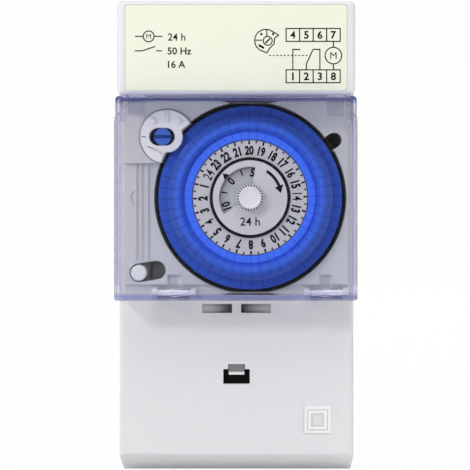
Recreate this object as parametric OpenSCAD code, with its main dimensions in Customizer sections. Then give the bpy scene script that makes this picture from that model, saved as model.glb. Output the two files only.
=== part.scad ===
// Time switch for a 35 mm rail with a 24 hour tappet dial.
// Every piece is drawn lying down: x to the right, y up the front, z towards the viewer.
// upright() then stands it on end, so that the front faces -Y and the top +Z.
// The origin is the middle of the rail, on the plane where the rail's lips seat.

/* [Housing] */
// Width of the housing
body_w = 75; // [70:0.5:82]
// Height of the label block
label_block_h = 29.7; // [27:0.1:33]
// Height of the terminal cover
term_h = 57.5; // [54:0.5:64]
// Wall of the mouldings
wall = 2; // [1.6:0.1:2.4]
// Depth of the base behind the rail seat
back_d = 6; // [5.6:0.1:7]
// Parting plane of base and front, in front of the rail seat
split_d = 10; // [9:0.5:12]
// Radius of the front edges
edge_r = 1.3; // [0.8:0.1:1.6]
// Radius of the upright corners
corner_r = 2; // [1:0.1:3]
// Rim of the front housing under the clear cover
rim_d = 31; // [30:0.1:31.5]
// Front of the label block
label_d = 39.4; // [37:0.1:42]
// Distance of the label block above the dial well
well_top = 2.2; // [2:0.1:4]
// Distance of the front housing's lower end below the dial well
well_foot = 2.1; // [1.9:0.1:2.3]
// Gap between neighbouring housing pieces
seam = 0.3; // [0.2:0.05:0.5]

/* [Label] */
// Margin of the label plate at its sides
label_side = 2.65; // [2:0.05:6]
// Margin of the label plate above and below
label_margin = 1.35; // [1.2:0.05:4]
// Thickness of the label plate
label_t = 0.4; // [0.3:0.05:0.8]

/* [Rail] */
// Height of the rail over its lips
rail_h = 35; // [35:0.1:35.3]
// Thickness of the rail's lips
rail_t = 1; // [0.9:0.05:1.1]
// How far the hook and the clip reach over the lips
rail_grip = 1.4; // [1:0.1:2]
// Play of the rail in its groove
rail_play = 0.3; // [0.2:0.05:0.5]
// Width of the sliding rail clip
clip_w = 16; // [12:0.5:18]
// Thickness of the rail clip
clip_t = 2.4; // [2:0.1:2.5]
// Travel of the rail clip
clip_travel = 4; // [3:0.1:5]
// Radius of the clip spring's turns
spring_r = 0.85; // [0.7:0.05:0.9]
// Radius of the clip spring's wire
spring_wire = 0.22; // [0.15:0.01:0.25]
// Turns of the clip spring
spring_turns = 9; // [7:1:10]
// Length of the clip spring at rest
spring_l = 14; // [12:0.5:16]

/* [Wall fixing] */
// Distance of the wall-screw holes from the sides
fix_side = 6.5; // [6:0.5:8.5]
// Radius of the wall-screw holes
fix_r = 2.2; // [1.8:0.1:2.6]
// Height of the wall-screw holes above the lower end
fix_up = 9; // [8:0.5:11]
// Width of a cable entry in the lower wall
entry_w = 12; // [8:0.5:14]
// Distance between the cable entries
entry_pitch = 20; // [17:0.5:21]

/* [Terminals] */
// Front of the terminal cover
term_d = 30; // [29:0.1:30.5]
// Height of the sloping band under the terminal cover's front
term_slope = 7; // [5:0.5:9]
// Distance between terminals in a row
term_pitch = 16; // [14:0.5:16.5]
// Depth of the terminal block's upper step above its floor
block_high = 20; // [18:0.5:21]
// Depth of the terminal block's lower step above its floor
block_low = 13; // [12:0.5:15]
// Height of one step of the terminal block
block_step = 17; // [15:0.5:17.5]
// Side of a wire clamp
clamp_w = 8; // [7:0.1:9]
// Radius of a terminal screw's head
screw_head_r = 3; // [2.5:0.1:3.3]
// Radius of a wire hole
wire_r = 1.7; // [1.3:0.05:1.9]
// Half width of the latch window
latch_half = 4.25; // [3.6:0.05:5]
// Outer side of the double-square relief
relief_w = 8.3; // [6:0.1:10]

/* [Face plate] */
// Front of the face plate
face_d = 32.5; // [32.2:0.05:32.8]
// Thickness of the face plate
face_t = 1.6; // [1.2:0.1:1.8]
// Rise of the lever platform above the face
platform_rise = 1.7; // [1.2:0.1:2]
// Distance of the lever platform's lower edge below the lever's centre
platform_drop = 8.3; // [7.5:0.1:9]
// Least width of the face plate beside the dial well
face_rim = 1.1; // [0.8:0.05:1.6]
// Half width of the rounded notch beside the well
notch_half = 2.4; // [1.5:0.1:3]
// Reach of the notch beyond the dial well
notch_out = 4.7; // [3:0.1:6]
// Direction of the notch
notch_turn = 34.4; // [30:0.1:40]

/* [Dial] */
// Dial centre to the right of the middle
dial_x = 4.4; // [4:0.05:4.6]
// Dial centre above the rail's middle
dial_y = 14; // [13.9:0.05:14.2]
// Width of the hour ring
hour_w = 5.5; // [5:0.1:6]
// Radial clearance of running fits
run_gap = 0.05; // [0.02:0.01:0.1]
// Width of the tappets from the hour ring to the ridge
band_w = 5.5; // [5:0.1:6]
// Width of the tappets outside the ridge
slope_w = 2.8; // [2.4:0.1:3.2]
// Rise of the tappets' ridge above the hour ring
ridge_rise = 2.6; // [2:0.1:3]
// Travel of a tappet
tappet_travel = 1.1; // [0.8:0.05:1.2]
// Angle left open between tappets
tappet_gap = 0.45; // [0.3:0.05:0.8]
// Hours on the dial
hours = 24; // [24:1:24]
// Tappets in each hour
tappets_per_hour = 2; // [1:1:4]
// Direction of an hour line
dial_turn = 91; // [85:0.5:95]
// Width of the dial's rim outside the tappets
rim_step = 2.2; // [1.8:0.1:2.6]
// Gap between the dial's rim and the well
well_gap = 1.6; // [1.3:0.05:2]
// Front of the dial's rim
dial_rim_d = 33.2; // [33:0.05:33.3]

/* [Movement] */
// Teeth of the dial gear and of the intermediate wheel
wheel_teeth = 48; // [48:1:48]
// Teeth of the intermediate pinion
small_teeth = 8; // [8:1:8]
// Teeth of the minute and motor pinions
pinion_teeth = 12; // [12:1:12]
// Centre distance of every gear pair
gear_distance = 22.4; // [22.2:0.05:22.6]
// Direction of the intermediate arbor from the dial
train_turn = 75; // [72:0.5:78]
// Share of the pitch left as play between teeth
tooth_play = 0.16; // [0.1:0.01:0.25]
// Radius of the arbors
arbor_r = 1; // [0.8:0.05:1.2]
// Front of the movement frame
frame_d = 25.5; // [25.2:0.05:25.8]
// Thickness of the movement plates
plate_t = 1.5; // [1.2:0.1:1.6]
// Distance between the movement plates
movement_gap = 4.5; // [4:0.1:5]
// Radius of the setting knob
knob_r = 3.7; // [3.2:0.1:4]
// Height of the setting knob
knob_h = 3.3; // [3:0.1:4]
// Width of the black ring round the centre disc
disc_margin = 0.8; // [0.6:0.05:1.2]
// Distance of the minute disc's edge from the bearing
minute_margin = 2.2; // [2.1:0.05:2.6]
// Width of the centre disc outside its window
window_rim = 2; // [1.9:0.05:2.6]
// First direction of the window
window_from = 80; // [70:1:90]
// Last direction of the window
window_to = 212; // [200:1:220]

/* [Switch] */
// Direction of the lever from the dial
lever_turn = 143.83; // [142:0.01:146]
// Gap between the lever's hub and a tappet that is pulled out
lever_gap = 0.353; // [0.3:0.001:0.6]
// Outer radius of the lever disc
lever_r = 8.45; // [8.2:0.05:8.5]
// Radius of the lever's hub
hub_r = 4.95; // [4.6:0.05:5]
// Thickness of the lever
lever_t = 2; // [1.6:0.1:2.4]
// Distance of the override knob from the lever disc's centre
override_off = 1.4; // [1.2:0.05:1.5]
// Radius of the override knob
override_r = 2.7; // [2.3:0.05:2.75]
// Half height of the oval hole
oval_half = 2.85; // [2.8:0.01:2.95]
// Length of the oval hole
oval_l = 8.2; // [7.4:0.1:8.4]
// Reach of the lever pin from the override knob's axis
pin_reach = 5; // [4.8:0.1:5.2]
// Radius of the lever pin
pin_r = 0.9; // [0.7:0.05:1]
// Swing of the lever to each side
lever_swing = 10; // [6:1:10]
// Button centre from the side of the face plate
button_side = 4.5; // [4.4:0.05:4.6]
// Button centre above the front housing's lower end
button_rise = 8.2; // [8.1:0.05:8.6]
// Radius of the button
button_r = 2.57; // [2.2:0.01:2.7]
// Radius of the button's slot
slot_r = 3; // [2.9:0.05:3.05]
// Travel of the button
button_travel = 5.6; // [5:0.1:5.7]
// Slope of the button's slot
slot_turn = 8.7; // [6:0.1:10]

/* [Clear cover] */
// Overhang of the clear cover at each side of the housing
cover_over = 0.3; // [0.2:0.05:0.7]
// Gap between the clear cover and the label block
cover_gap = 0.5; // [0.3:0.05:0.8]
// Room between the setting knob and the clear cover
cover_room = 1.2; // [0.9:0.1:3]
// Wall of the clear cover
cover_wall = 1.8; // [1.5:0.05:1.85]
// Hinge axis above the clear cover's lower end
hinge_in = 1.8; // [1.7:0.05:1.9]
// Hinge axis in front of the rail seat
hinge_d = 32.8; // [32.7:0.05:33]
// Distance of the right hinge arm from the housing's side
hinge_side = 8.9; // [8.8:0.1:9.5]
// Radius of the hinge knuckles
knuckle_r = 1.5; // [1.3:0.05:1.5]
// Width of a hinge knuckle
knuckle_w = 10; // [8:0.1:10.1]
// Radius of the hinge pins
hinge_pin_r = 0.75; // [0.6:0.05:0.8]
// Finger notch in the upper corners, across
finger_w = 2.3; // [1.5:0.1:2.6]
// Finger notch in the upper corners, down
finger_h = 4.6; // [3:0.1:6]
// Depth of the finger notches
finger_d = 5.5; // [3:0.1:6]

/* [Hidden] */
$fn = 64;
half_w = body_w / 2;
inner_w = half_w - wall;
eps = 0.01;
through = 40;

cover_w = body_w + 2 * cover_over;
face_play = 0.4;
face_half = cover_w / 2 - cover_wall - face_play;
well_r = face_half - dial_x - face_rim;
rim_r = well_r - well_gap;
tappet_r = rim_r - rim_step;
ridge_r = tappet_r - slope_w;
hour_r = ridge_r - band_w;
bearing_r = hour_r - hour_w;
minute_r = bearing_r - minute_margin;
disc_r = bearing_r - disc_margin;
window_r = disc_r - window_rim;
notch_reach = well_r + notch_out;
label_low = dial_y + well_r + well_top;
front_low = well_r + well_foot - dial_y;
body_up = label_low + label_block_h;
body_down = front_low + seam + term_h;
label_w = body_w - 2 * label_side;
label_h = label_block_h - 2 * label_margin;
fix_pitch = body_w - 2 * fix_side;
rear_d = frame_d - plate_t - movement_gap;
ceiling_d = max(rim_d - wall - face_t, frame_d + seam);
cover_low = front_low - 0.2;
cover_up = label_low - cover_gap;
hinge_low = cover_low - hinge_in;
hinge_half = half_w - dial_x - hinge_side;

rail_half = rail_h / 2 + rail_play;
lip_d = rail_t + rail_play / 2;
floor_d = wall;
base_ridge = rail_half + wall;
screw_r = 1.5;
screw_head = 2.6;
boss_r = 3;
boss_x = inner_w - boss_r + 0.4;
screw_ys = [base_ridge + boss_r - 0.4, body_up - wall - boss_r + 0.4];

face_back = face_d - face_t;
face_up = label_low - 0.2;
face_low = cover_low - 4.3;
platform_d = face_d + platform_rise;
recess_d = platform_d - 1;
recess_gap = 0.5;

hub_rise = 5.6;
hub_front = dial_rim_d + hub_rise;
hour_t = 0.6;
hour_d = hub_front + hour_t;
ridge_d = hour_d + ridge_rise;
groove_low = dial_rim_d + 0.8;
groove_h = 1.9;
groove_r = hour_r - 2.4;
tappet_low = dial_rim_d + 0.2;
tappet_in = hour_r + 0.25;
disc_back = 29.5;
gear_back = frame_d + 0.3;
tappet_pitch = 360 / (hours * tappets_per_hour);

fine_module = 2 * gear_distance / (wheel_teeth + pinion_teeth);
coarse_module = 2 * gear_distance / (wheel_teeth + small_teeth);
dial_at = [dial_x, dial_y];
mid_at = dial_at + gear_distance * [cos(train_turn), sin(train_turn)];
motor_turn = train_turn + 4 * 360 / wheel_teeth;
motor_at = mid_at + gear_distance * [cos(motor_turn), sin(motor_turn)];
arbor_end = rear_d - plate_t;
wheel_low = rear_d + 1.7;
wheel_high = frame_d - plate_t - 0.8;
pillar_r = 2.2;
pillar_left = dial_x - 12.4;
pillar_right = dial_x + 18.6;
pillar_foot = dial_y - 6;
pillar_head = motor_at[1] + 6.7;
pillars = [[pillar_left, pillar_foot], [pillar_right, pillar_foot],
           [pillar_left, pillar_head], [pillar_right, pillar_head]];
seat_half = 2.6;
post_out = 3.6;
post_across = hinge_half - seat_half - pillar_r - 0.4;
post_reach = rim_r + pillar_r + 0.85;
post_drop = sqrt(post_reach * post_reach - post_across * post_across);
frame_posts = [
    dial_at + polar(well_r + post_out, 129.5),
    dial_at + polar(well_r + post_out + 1.5, 50),
    dial_at + [post_across, -post_drop],
    dial_at + [-post_across, -post_drop]
];
frame_edge = 2.8;
plate_margin = 4;
plate_hole_r = 4.5;
plate_hole_in = [9, 7, 20];
gear_hub = coarse_module * (wheel_teeth / 2 - 1);

cup_r = bearing_r - run_gap;
cup_wall = cup_r - minute_r - 0.4;
lip_front = hour_d + 0.45;
disc_d = lip_front + 0.45;
minute_d = lip_front - 0.55;
knob_back = disc_d + 0.4;
knob_d = knob_back + knob_h;
cover_d = knob_d + cover_room + cover_wall;

lever_at = dial_at + polar(tappet_r + tappet_travel + hub_r + lever_gap, lever_turn);
override_at = lever_at - [override_off, 0];
platform_low = lever_at[1] - platform_drop;
lever_low = dial_rim_d + 0.4;
lever_front = lever_low + lever_t;
oval_floor = lever_low + 0.6;
shaft_r = 1.5;
pin_at = override_at + [0, pin_reach];
pin_end = 17;
switch_gap = 3;
switch_play = 0.6;
switch_post_r = 1.5;
switch_post_pitch = 10;
switch_x = pin_at[0] - pin_r - switch_gap;
switch_w = inner_w + switch_x - switch_play;
switch_h = 15;
switch_front = 24;
switch_back = 14;
slot_step = button_travel * [cos(slot_turn), sin(slot_turn)];
button_at = [button_side - face_half, button_rise - front_low];
flange_t = 1.2;
flange_front = face_back - 0.15;
flange_back = flange_front - flange_t;
seat_front = flange_back - seam;
seat_t = 2.2;
rib_sides = [3.5, 5.2, 7.2];

cover_half = cover_w / 2;
cover_back = rim_d + 0.2;
cover_inner = cover_half - cover_wall;
cover_step = hinge_d + knuckle_r + 0.6;
hinge_xs = [dial_x - hinge_half, dial_x + hinge_half];
ear_w = 1.6;
arm_w = 2.2;

term_top = -front_low - seam;
term_bottom = -body_down;
term_edge = term_bottom + term_slope;
term_inner_top = term_top - wall;
block_top = term_inner_top - 0.5;
block_mid = block_top - block_step;
block_end = block_mid - block_step;
clamp_gap = 0.2;
clamp_h = 8;
latch_drop = 20.9;
latch_h = 6.4;
latch_top = term_top - latch_drop;
latch_sill = latch_top - latch_h;
hook_half = 2.5;
terminal_xs = [for (i = [0:3]) (i - 1.5) * term_pitch];
terminal_rows = [
    [(block_top + block_mid) / 2, floor_d + block_high],
    [(block_mid + block_end) / 2, floor_d + block_low]
];

pocket_upper_h = 23;
pocket_lower_h = 13;
clip_gap = 0.2;
clip_top = -rail_h / 2 + rail_grip;
clip_back = -back_d + 0.2;
clip_front = clip_back + clip_t;
clip_end = term_bottom + 1.2;
clip_nose_h = 3;
clip_nose_d = -lip_d - 0.1;
peg_rise = 19.6;
peg_top = term_bottom + peg_rise;
peg_h = 1.6;
spring_mid = (clip_back + clip_front) / 2;
clip_window = [peg_top - peg_h - 0.4, peg_top + spring_l + 0.2];
clip_window_half = spring_r + spring_wire + 0.9;

board_d = 0;
board_t = 1.6;
board_low = base_ridge + 9;
board_up = body_up - wall - 4;
board_play = 7;
board_half = inner_w - board_play;
board_edge = 3;
capacitor_w = 14;
capacitor_h = 6;
capacitor_t = 9;
capacitor_in = 4.5;
crystal_l = 6;
crystal_r = 2;
crystal_t = 3;
crystal_in = 24.5;
battery_in = 11.5;
minute_t = 0.4;
minute_hub_w = 0.8;
minute_hub_h = 1.6;
motor_r = 10;
motor_back = 8.5;
battery_r = 8;
battery_h = 6;

tappet_names = [for (h = [1:hours]) str("tappets_hour_", h < 10 ? "0" : "", h)];

white = [0.87, 0.875, 0.885];
grey = [0.7, 0.71, 0.74];
blue = [0.16, 0.3, 0.82];
black = [0.08, 0.08, 0.09];
silver = [0.78, 0.78, 0.8];
brass = [0.8, 0.66, 0.34];
steel = [0.72, 0.73, 0.75];

// Drawing helpers

// Stands a lying piece on end
module upright() {
    rotate([90, 0, 0]) children();
}

// Extrudes a front outline from depth z0 to depth z1
module slab(z0, z1) {
    translate([0, 0, z0]) linear_extrude(z1 - z0) children();
}

// Extrudes a side outline (y, z) from x0 to x1
module along_x(x0, x1) {
    translate([x0, 0, 0]) rotate([90, 0, 90]) linear_extrude(x1 - x0) children();
}

// Extrudes a top outline (x, z) from y0 to y1
module along_y(y0, y1) {
    translate([0, y1, 0]) rotate([90, 0, 0]) linear_extrude(y1 - y0) children();
}

// Rectangle between two corners
module span(x0, x1, y0, y1) {
    translate([x0, y0]) square([x1 - x0, y1 - y0]);
}

// Box between two corners
module block(x0, x1, y0, y1, z0, z1) {
    translate([x0, y0, z0]) cube([x1 - x0, y1 - y0, z1 - z0]);
}

// Round bar along z
module rod(at, r, z0, z1) {
    translate([at[0], at[1], z0]) cylinder(r = r, h = z1 - z0);
}

// Round bar along x
module cross_rod(x0, x1, y, z, r) {
    translate([x0, y, z]) rotate([0, 90, 0]) cylinder(r = r, h = x1 - x0);
}

// Rectangle with four round corners
module round_span(x0, x1, y0, y1, r) {
    span(x0 + r, x1 - r, y0, y1);
    span(x0, x1, y0 + r, y1 - r);
    for (x = [x0 + r, x1 - r], y = [y0 + r, y1 - r]) translate([x, y]) circle(r);
}

// Rectangle whose two front corners are round
module front_round(a0, a1, z0, z1, r) {
    span(a0, a1, z0, z1 - r);
    span(a0 + r, a1 - r, z0, z1);
    for (a = [a0 + r, a1 - r]) translate([a, z1 - r]) circle(r);
}

// Slot with round ends from one centre to another
module capsule(from, to, r) {
    run = norm(to - from);
    translate(from) rotate(atan2(to[1] - from[1], to[0] - from[0])) {
        circle(r);
        translate([run, 0]) circle(r);
        translate([0, -r]) square([run, 2 * r]);
    }
}

// Block with round upright corners and round front edges
module soft_block(x0, x1, y0, y1, z0, z1, r_front, r_corner) {
    intersection() {
        along_x(x0, x1) front_round(y0, y1, z0, z1, r_front);
        along_y(y0, y1) front_round(x0, x1, z0, z1, r_front);
        slab(z0, z1) round_span(x0, x1, y0, y1, r_corner);
    }
}

// Ring between two radii
module ring(at, r_in, r_out, z0, z1) {
    difference() {
        rod(at, r_out, z0, z1);
        rod(at, r_in, z0 - eps, z1 + eps);
    }
}

// Gears: involute flanks with short tips

pressure = 20;
function involute_deg(a) = tan(a) * 180 / PI - a;

// Half angle of a tooth at radius r
function tooth_half(teeth, pitch_r, r) =
    let (base_r = pitch_r * cos(pressure))
    90 / teeth * (1 - tooth_play) + involute_deg(pressure)
    - (r > base_r ? involute_deg(acos(base_r / r)) : 0);

function polar(r, a) = [r * cos(a), r * sin(a)];

// Outline of a gear with the middle of one tooth at the angle turn
function gear_points(teeth, tooth_module, turn) =
    let (
        pitch_r = teeth * tooth_module / 2,
        root_r = pitch_r - 0.9 * tooth_module,
        tip_r = pitch_r + 0.5 * tooth_module,
        radii = [root_r, max(root_r + eps, pitch_r * cos(pressure)), pitch_r, tip_r]
    )
    [for (k = [0:teeth - 1]) each concat(
        [for (i = [0:3]) polar(radii[i], turn + k * 360 / teeth - tooth_half(teeth, pitch_r, radii[i]))],
        [for (i = [3:-1:0]) polar(radii[i], turn + k * 360 / teeth + tooth_half(teeth, pitch_r, radii[i]))]
    )];

module gear(at, teeth, tooth_module, turn, z0, z1) {
    translate(at) slab(z0, z1) polygon(gear_points(teeth, tooth_module, turn));
}

// Base with rail groove, hook and terminal bay

module rail_groove() {
    block(-through - half_w, through + half_w, -rail_half, rail_half, -lip_d, 0);
    block(-through - half_w, through + half_w, -rail_half, rail_h / 2 - rail_grip, -back_d - 1, -lip_d + eps);
}

module clip_channel() {
    half = clip_w / 2 + clip_gap;
    block(-half, half, term_bottom - 1, -rail_half + 1, -back_d - 1, clip_front + clip_gap);
    block(-half, half, clip_top - clip_nose_h - clip_travel - 1, -rail_half + 1,
          -back_d - 1, clip_nose_d + clip_gap);
}

// Hollows behind the terminal floor, with a rib between them
module back_pockets() {
    inner_x = clip_w / 2 + clip_gap + wall;
    upper = -rail_half - wall;
    lower = upper - pocket_upper_h - wall;
    rows = [[upper - pocket_upper_h, upper], [lower - pocket_lower_h, lower]];
    for (side = [0, 1], row = rows) mirror([side, 0, 0])
        block(inner_x, inner_w, row[0], row[1], -back_d - 1, 0);
}

module base() {
    color(white) upright() difference() {
        union() {
            difference() {
                slab(-back_d, split_d) round_span(-half_w, half_w, term_bottom, body_up, corner_r);
                block(-inner_w, inner_w, base_ridge, body_up - wall, wall - back_d, split_d + 1);
                block(-inner_w, inner_w, term_bottom + wall, base_ridge - wall, floor_d, split_d + 1);
                back_pockets();
            }
            for (side = [-1, 1], y = screw_ys) rod([side * boss_x, y], boss_r, wall - back_d - eps, split_d);
            for (x = [-board_half + 4, board_half - 4], y = [board_low + 4, board_up - 4])
                rod([x, y], pillar_r, wall - back_d - eps, board_d);
        }
        rail_groove();
        clip_channel();
        for (side = [-1, 1], y = screw_ys) {
            rod([side * boss_x, y], screw_r + run_gap, -back_d - 1, split_d + 1);
            rod([side * boss_x, y], screw_head + clip_gap, -back_d - 1, wall - back_d + 1);
        }
        for (side = [-1, 1])
            rod([side * fix_pitch / 2, term_bottom + fix_up], fix_r, -back_d - 1, split_d);
        for (i = [-1:1])
            block(i * entry_pitch - entry_w / 2, i * entry_pitch + entry_w / 2,
                  term_bottom - 1, term_bottom + wall + 1, floor_d + 1, split_d + 1);
    }
    color(white) upright()
        block(-clip_window_half + 0.4, clip_window_half - 0.4, peg_top - peg_h, peg_top,
              clip_back, clip_front + clip_gap + eps);
}

// Rail clip and its spring

module rail_clip() {
    half = clip_w / 2;
    color(black) upright() difference() {
        union() {
            slab(clip_back, clip_front) round_span(-half, half, clip_end, clip_top, 1);
            along_x(-half, half) polygon([
                [clip_top - clip_nose_h, clip_front - eps],
                [clip_top, clip_front - eps],
                [clip_top, clip_nose_d],
                [clip_top - clip_nose_h, clip_nose_d]
            ]);
        }
        block(-clip_window_half, clip_window_half, clip_window[0], clip_window[1],
              clip_back - 1, clip_front + 1);
        block(-3, 3, clip_end + 2, clip_end + 4, clip_back - 1, clip_front + 1);
    }
}

spring_rings = 8;
spring_sides = 6;
spring_pitch = (spring_l - 2 * spring_wire - 0.2) / spring_turns;
spring_count = spring_turns * spring_rings;

// Point of the spring's wire at ring i and side j, wound along y
function spring_point(i, j) =
    let (
        a = 360 * i / spring_rings,
        b = 360 * j / spring_sides,
        r = spring_r + spring_wire * cos(b)
    )
    [r * cos(a), peg_top + 0.1 + spring_wire * (1 + sin(b)) + spring_pitch * i / spring_rings,
     spring_mid + r * sin(a)];

spring_gap = spring_pitch - 2 * spring_wire;
echo(least_gap_between_spring_turns = spring_gap);

module clip_spring() {
    points = [for (i = [0:spring_count], j = [0:spring_sides - 1]) spring_point(i, j)];
    sides = [for (i = [0:spring_count - 1], j = [0:spring_sides - 1], half = [0, 1])
        let (
            a = i * spring_sides + j,
            b = i * spring_sides + (j + 1) % spring_sides
        )
        half == 0 ? [a, b, b + spring_sides] : [a, b + spring_sides, a + spring_sides]];
    last = spring_count * spring_sides;
    caps = [for (j = [1:spring_sides - 2], end = [0, 1])
        end == 0 ? [0, j + 1, j] : [last, last + j, last + j + 1]];
    color(steel) upright() polyhedron(points, concat(sides, caps));
}

// Front housing

module label_recess(grow) {
    y = (label_low + body_up) / 2;
    round_span(-label_w / 2 - grow, label_w / 2 + grow, y - label_h / 2 - grow, y + label_h / 2 + grow, 1.2);
}

// Ears that carry the pins of the clear cover
module hinge_ears() {
    for (x = hinge_xs, side = [-1, 1]) {
        mid = x + side * (knuckle_w / 2 + seam + ear_w / 2);
        cross_rod(mid - ear_w / 2, mid + ear_w / 2, -hinge_low, hinge_d, knuckle_r);
        block(mid - ear_w / 2, mid + ear_w / 2, -hinge_low - knuckle_r, -hinge_low + knuckle_r,
              rim_d - 3, hinge_d);
    }
}

// Seats behind the face plate's pockets for the arms of the clear cover
module hinge_seats() {
    for (x = hinge_xs)
        block(x - seat_half, x + seat_half, wall - front_low - eps, -face_low + 3.4,
              seat_front - seat_t, seat_front);
}

module front_housing() {
    ledge = 1.3;
    color(white) upright() difference() {
        union() {
            difference() {
                union() {
                    soft_block(-half_w, half_w, label_low, body_up, split_d, label_d, edge_r, corner_r);
                    block(-half_w, half_w, -front_low, label_low + wall, split_d, rim_d);
                }
                block(-inner_w, inner_w, wall - front_low, body_up - wall, split_d - 1, ceiling_d);
                block(-inner_w + ledge, inner_w - ledge, wall - front_low, label_low - ledge,
                      split_d, rim_d + 1);
                block(-face_half - 0.1, face_half + 0.1, wall - front_low - eps, label_low - eps,
                      face_back, rim_d + 1);
                block(-inner_w, inner_w, label_low + wall, body_up - wall, split_d, label_d - wall);
            }
            for (side = [-1, 1], y = screw_ys)
                rod([side * boss_x, y], boss_r, split_d, ceiling_d + eps);
            hinge_ears();
            hinge_seats();
        }
        slab(label_d - label_t, label_d + 1) label_recess(0.1);
        for (side = [-1, 1], y = screw_ys) rod([side * boss_x, y], screw_r, split_d - 1, rim_d - 5);
        for (x = hinge_xs) cross_rod(x - knuckle_w, x + knuckle_w, -hinge_low, hinge_d, hinge_pin_r);
    }
}

module label_plate() {
    color([0.92, 0.925, 0.85]) upright() slab(label_d - label_t, label_d) label_recess(0);
}

module housing_screws() {
    color(steel) upright() for (side = [-1, 1], y = screw_ys) {
        rod([side * boss_x, y], screw_r, wall - back_d + 1 - eps, rim_d - 6);
        difference() {
            rod([side * boss_x, y], screw_head, 0.6 - back_d, wall - back_d + 1);
            block(side * boss_x - 0.4, side * boss_x + 0.4, y - screw_head, y + screw_head,
                  -back_d, 1.3 - back_d);
        }
    }
}

module hinge_pins() {
    reach = knuckle_w / 2 + seam + ear_w;
    color(steel) upright()
        for (x = hinge_xs) cross_rod(x - reach, x + reach, -hinge_low, hinge_d, hinge_pin_r);
}

// Face plate

// Slot in which the lever pin swings
module pin_slot() {
    swing = lever_swing + 3;
    width = pin_r + 0.4;
    translate(override_at) difference() {
        circle(pin_reach + width);
        circle(pin_reach - width);
        polygon([[0, 0], polar(20, 90 + swing + 8), [-20, -20], [20, -20], polar(20, 90 - swing - 8)]);
    }
}

module face_outline() {
    difference() {
        span(-face_half, face_half, -face_low, face_up);
        translate(dial_at) circle(well_r);
        capsule(dial_at, dial_at + polar(notch_reach - notch_half, notch_turn), notch_half);
        capsule(button_at, button_at + slot_step, slot_r);
        for (x = hinge_xs) span(x - arm_w, x + arm_w, -face_low - 1, -face_low + 3.2);
    }
}

module face_plate() {
    rib_top = platform_low + 1;
    rib_end = button_at[1] + slot_r + 1;
    rib_xs = [for (side = rib_sides) side - face_half];
    color(grey) upright() {
        difference() {
            union() {
                slab(face_back, face_d) face_outline();
                slab(face_d - eps, platform_d) difference() {
                    span(-face_half, dial_x, platform_low, face_up);
                    translate(dial_at) circle(well_r);
                }
                for (x = rib_xs) block(x - 0.35, x + 0.35, rib_end, rib_top, face_d - eps, face_d + 0.6);
                for (at = frame_posts) rod(at, pillar_r, frame_d, face_back + eps);
                for (y = [lever_at[1], lever_at[1] + switch_post_pitch])
                    rod([switch_x - 2 * switch_post_r, y], switch_post_r, switch_front, face_back + eps);
            }
            rod(lever_at, lever_r + recess_gap, recess_d, platform_d + 1);
            rod(override_at, shaft_r + run_gap, face_back - 1, platform_d + 1);
            slab(face_back - 1, platform_d + 1) pin_slot();
        }
    }
}

// Centre of the dial, which stands still

module centre_cup() {
    color(black) upright() difference() {
        union() {
            rod(dial_at, cup_r, frame_d, lip_front);
            rod(dial_at, bearing_r + 0.2, hour_d + 0.15, lip_front);
        }
        rod(dial_at, cup_r - cup_wall, frame_d + 2.5, lip_front + 1);
        rod(dial_at, arbor_r + run_gap, frame_d - 1, frame_d + 3);
    }
}

// Fan between two directions
module fan(r_in, r_out, from, to) {
    mid = (from + to) / 2;
    reach = 2 * r_out;
    intersection() {
        difference() {
            circle(r_out);
            circle(r_in);
        }
        polygon([[0, 0], polar(reach, from), polar(reach, mid - 30), polar(reach, mid + 30),
                 polar(reach, to)]);
    }
}

module centre_disc() {
    color(silver) upright() translate(dial_at) difference() {
        slab(lip_front, disc_d) difference() {
            circle(disc_r);
            circle(arbor_r + 1.1);
            fan(arbor_r + 2, window_r, window_from, window_to);
        }
    }
}

// Dial that turns once a day

module dial_carrier() {
    rim_bevel = 0.4;
    color(blue) upright() {
        translate(dial_at) rotate_extrude() polygon([
            [bearing_r, gear_back],
            [gear_hub, gear_back],
            [gear_hub, disc_back],
            [rim_r, disc_back],
            [rim_r, dial_rim_d - rim_bevel],
            [rim_r - rim_bevel, dial_rim_d],
            [hour_r, dial_rim_d],
            [hour_r, groove_low],
            [groove_r, groove_low],
            [groove_r, groove_low + groove_h],
            [hour_r, groove_low + groove_h],
            [hour_r, hub_front],
            [bearing_r, hub_front]
        ]);
        difference() {
            gear(dial_at, wheel_teeth, coarse_module, train_turn, gear_back, disc_back);
            rod(dial_at, gear_hub - eps, gear_back - 1, disc_back + 1);
        }
    }
}

module hour_ring() {
    color(silver) upright() ring(dial_at, bearing_r, hour_r, hub_front, hour_d);
}

// Section of a tappet: tongue, inner band, ridge and outer slope
module tappet_section() {
    band_d = ridge_d - 2;
    tongue_in = groove_r + 0.2;
    tongue_low = groove_low + 0.2;
    tongue_high = groove_low + groove_h - 0.2;
    step_r = ridge_r - 2.3;
    polygon([
        [tongue_in, tongue_low],
        [tappet_in, tongue_low],
        [tappet_in, tappet_low],
        [tappet_r, tappet_low],
        [tappet_r, ridge_d - 5],
        [ridge_r + 0.3, ridge_d],
        [ridge_r - 0.2, ridge_d],
        [step_r, band_d + 0.3],
        [step_r, band_d - 0.5],
        [step_r - 0.5, band_d - 0.5],
        [step_r - 0.6, band_d],
        [tappet_in, band_d],
        [tappet_in, tongue_high],
        [tongue_in, tongue_high]
    ]);
}

// The tappets of one hour, counted counter-clockwise as on the dial
module tappets(hour) {
    color(blue) upright() translate(dial_at)
        for (k = [0:tappets_per_hour - 1])
            rotate(dial_turn + (hour - 20) * 360 / hours + k * tappet_pitch + tappet_gap / 2)
                rotate_extrude(angle = tappet_pitch - tappet_gap) tappet_section();
}

// Hand setting and gear train

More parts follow.
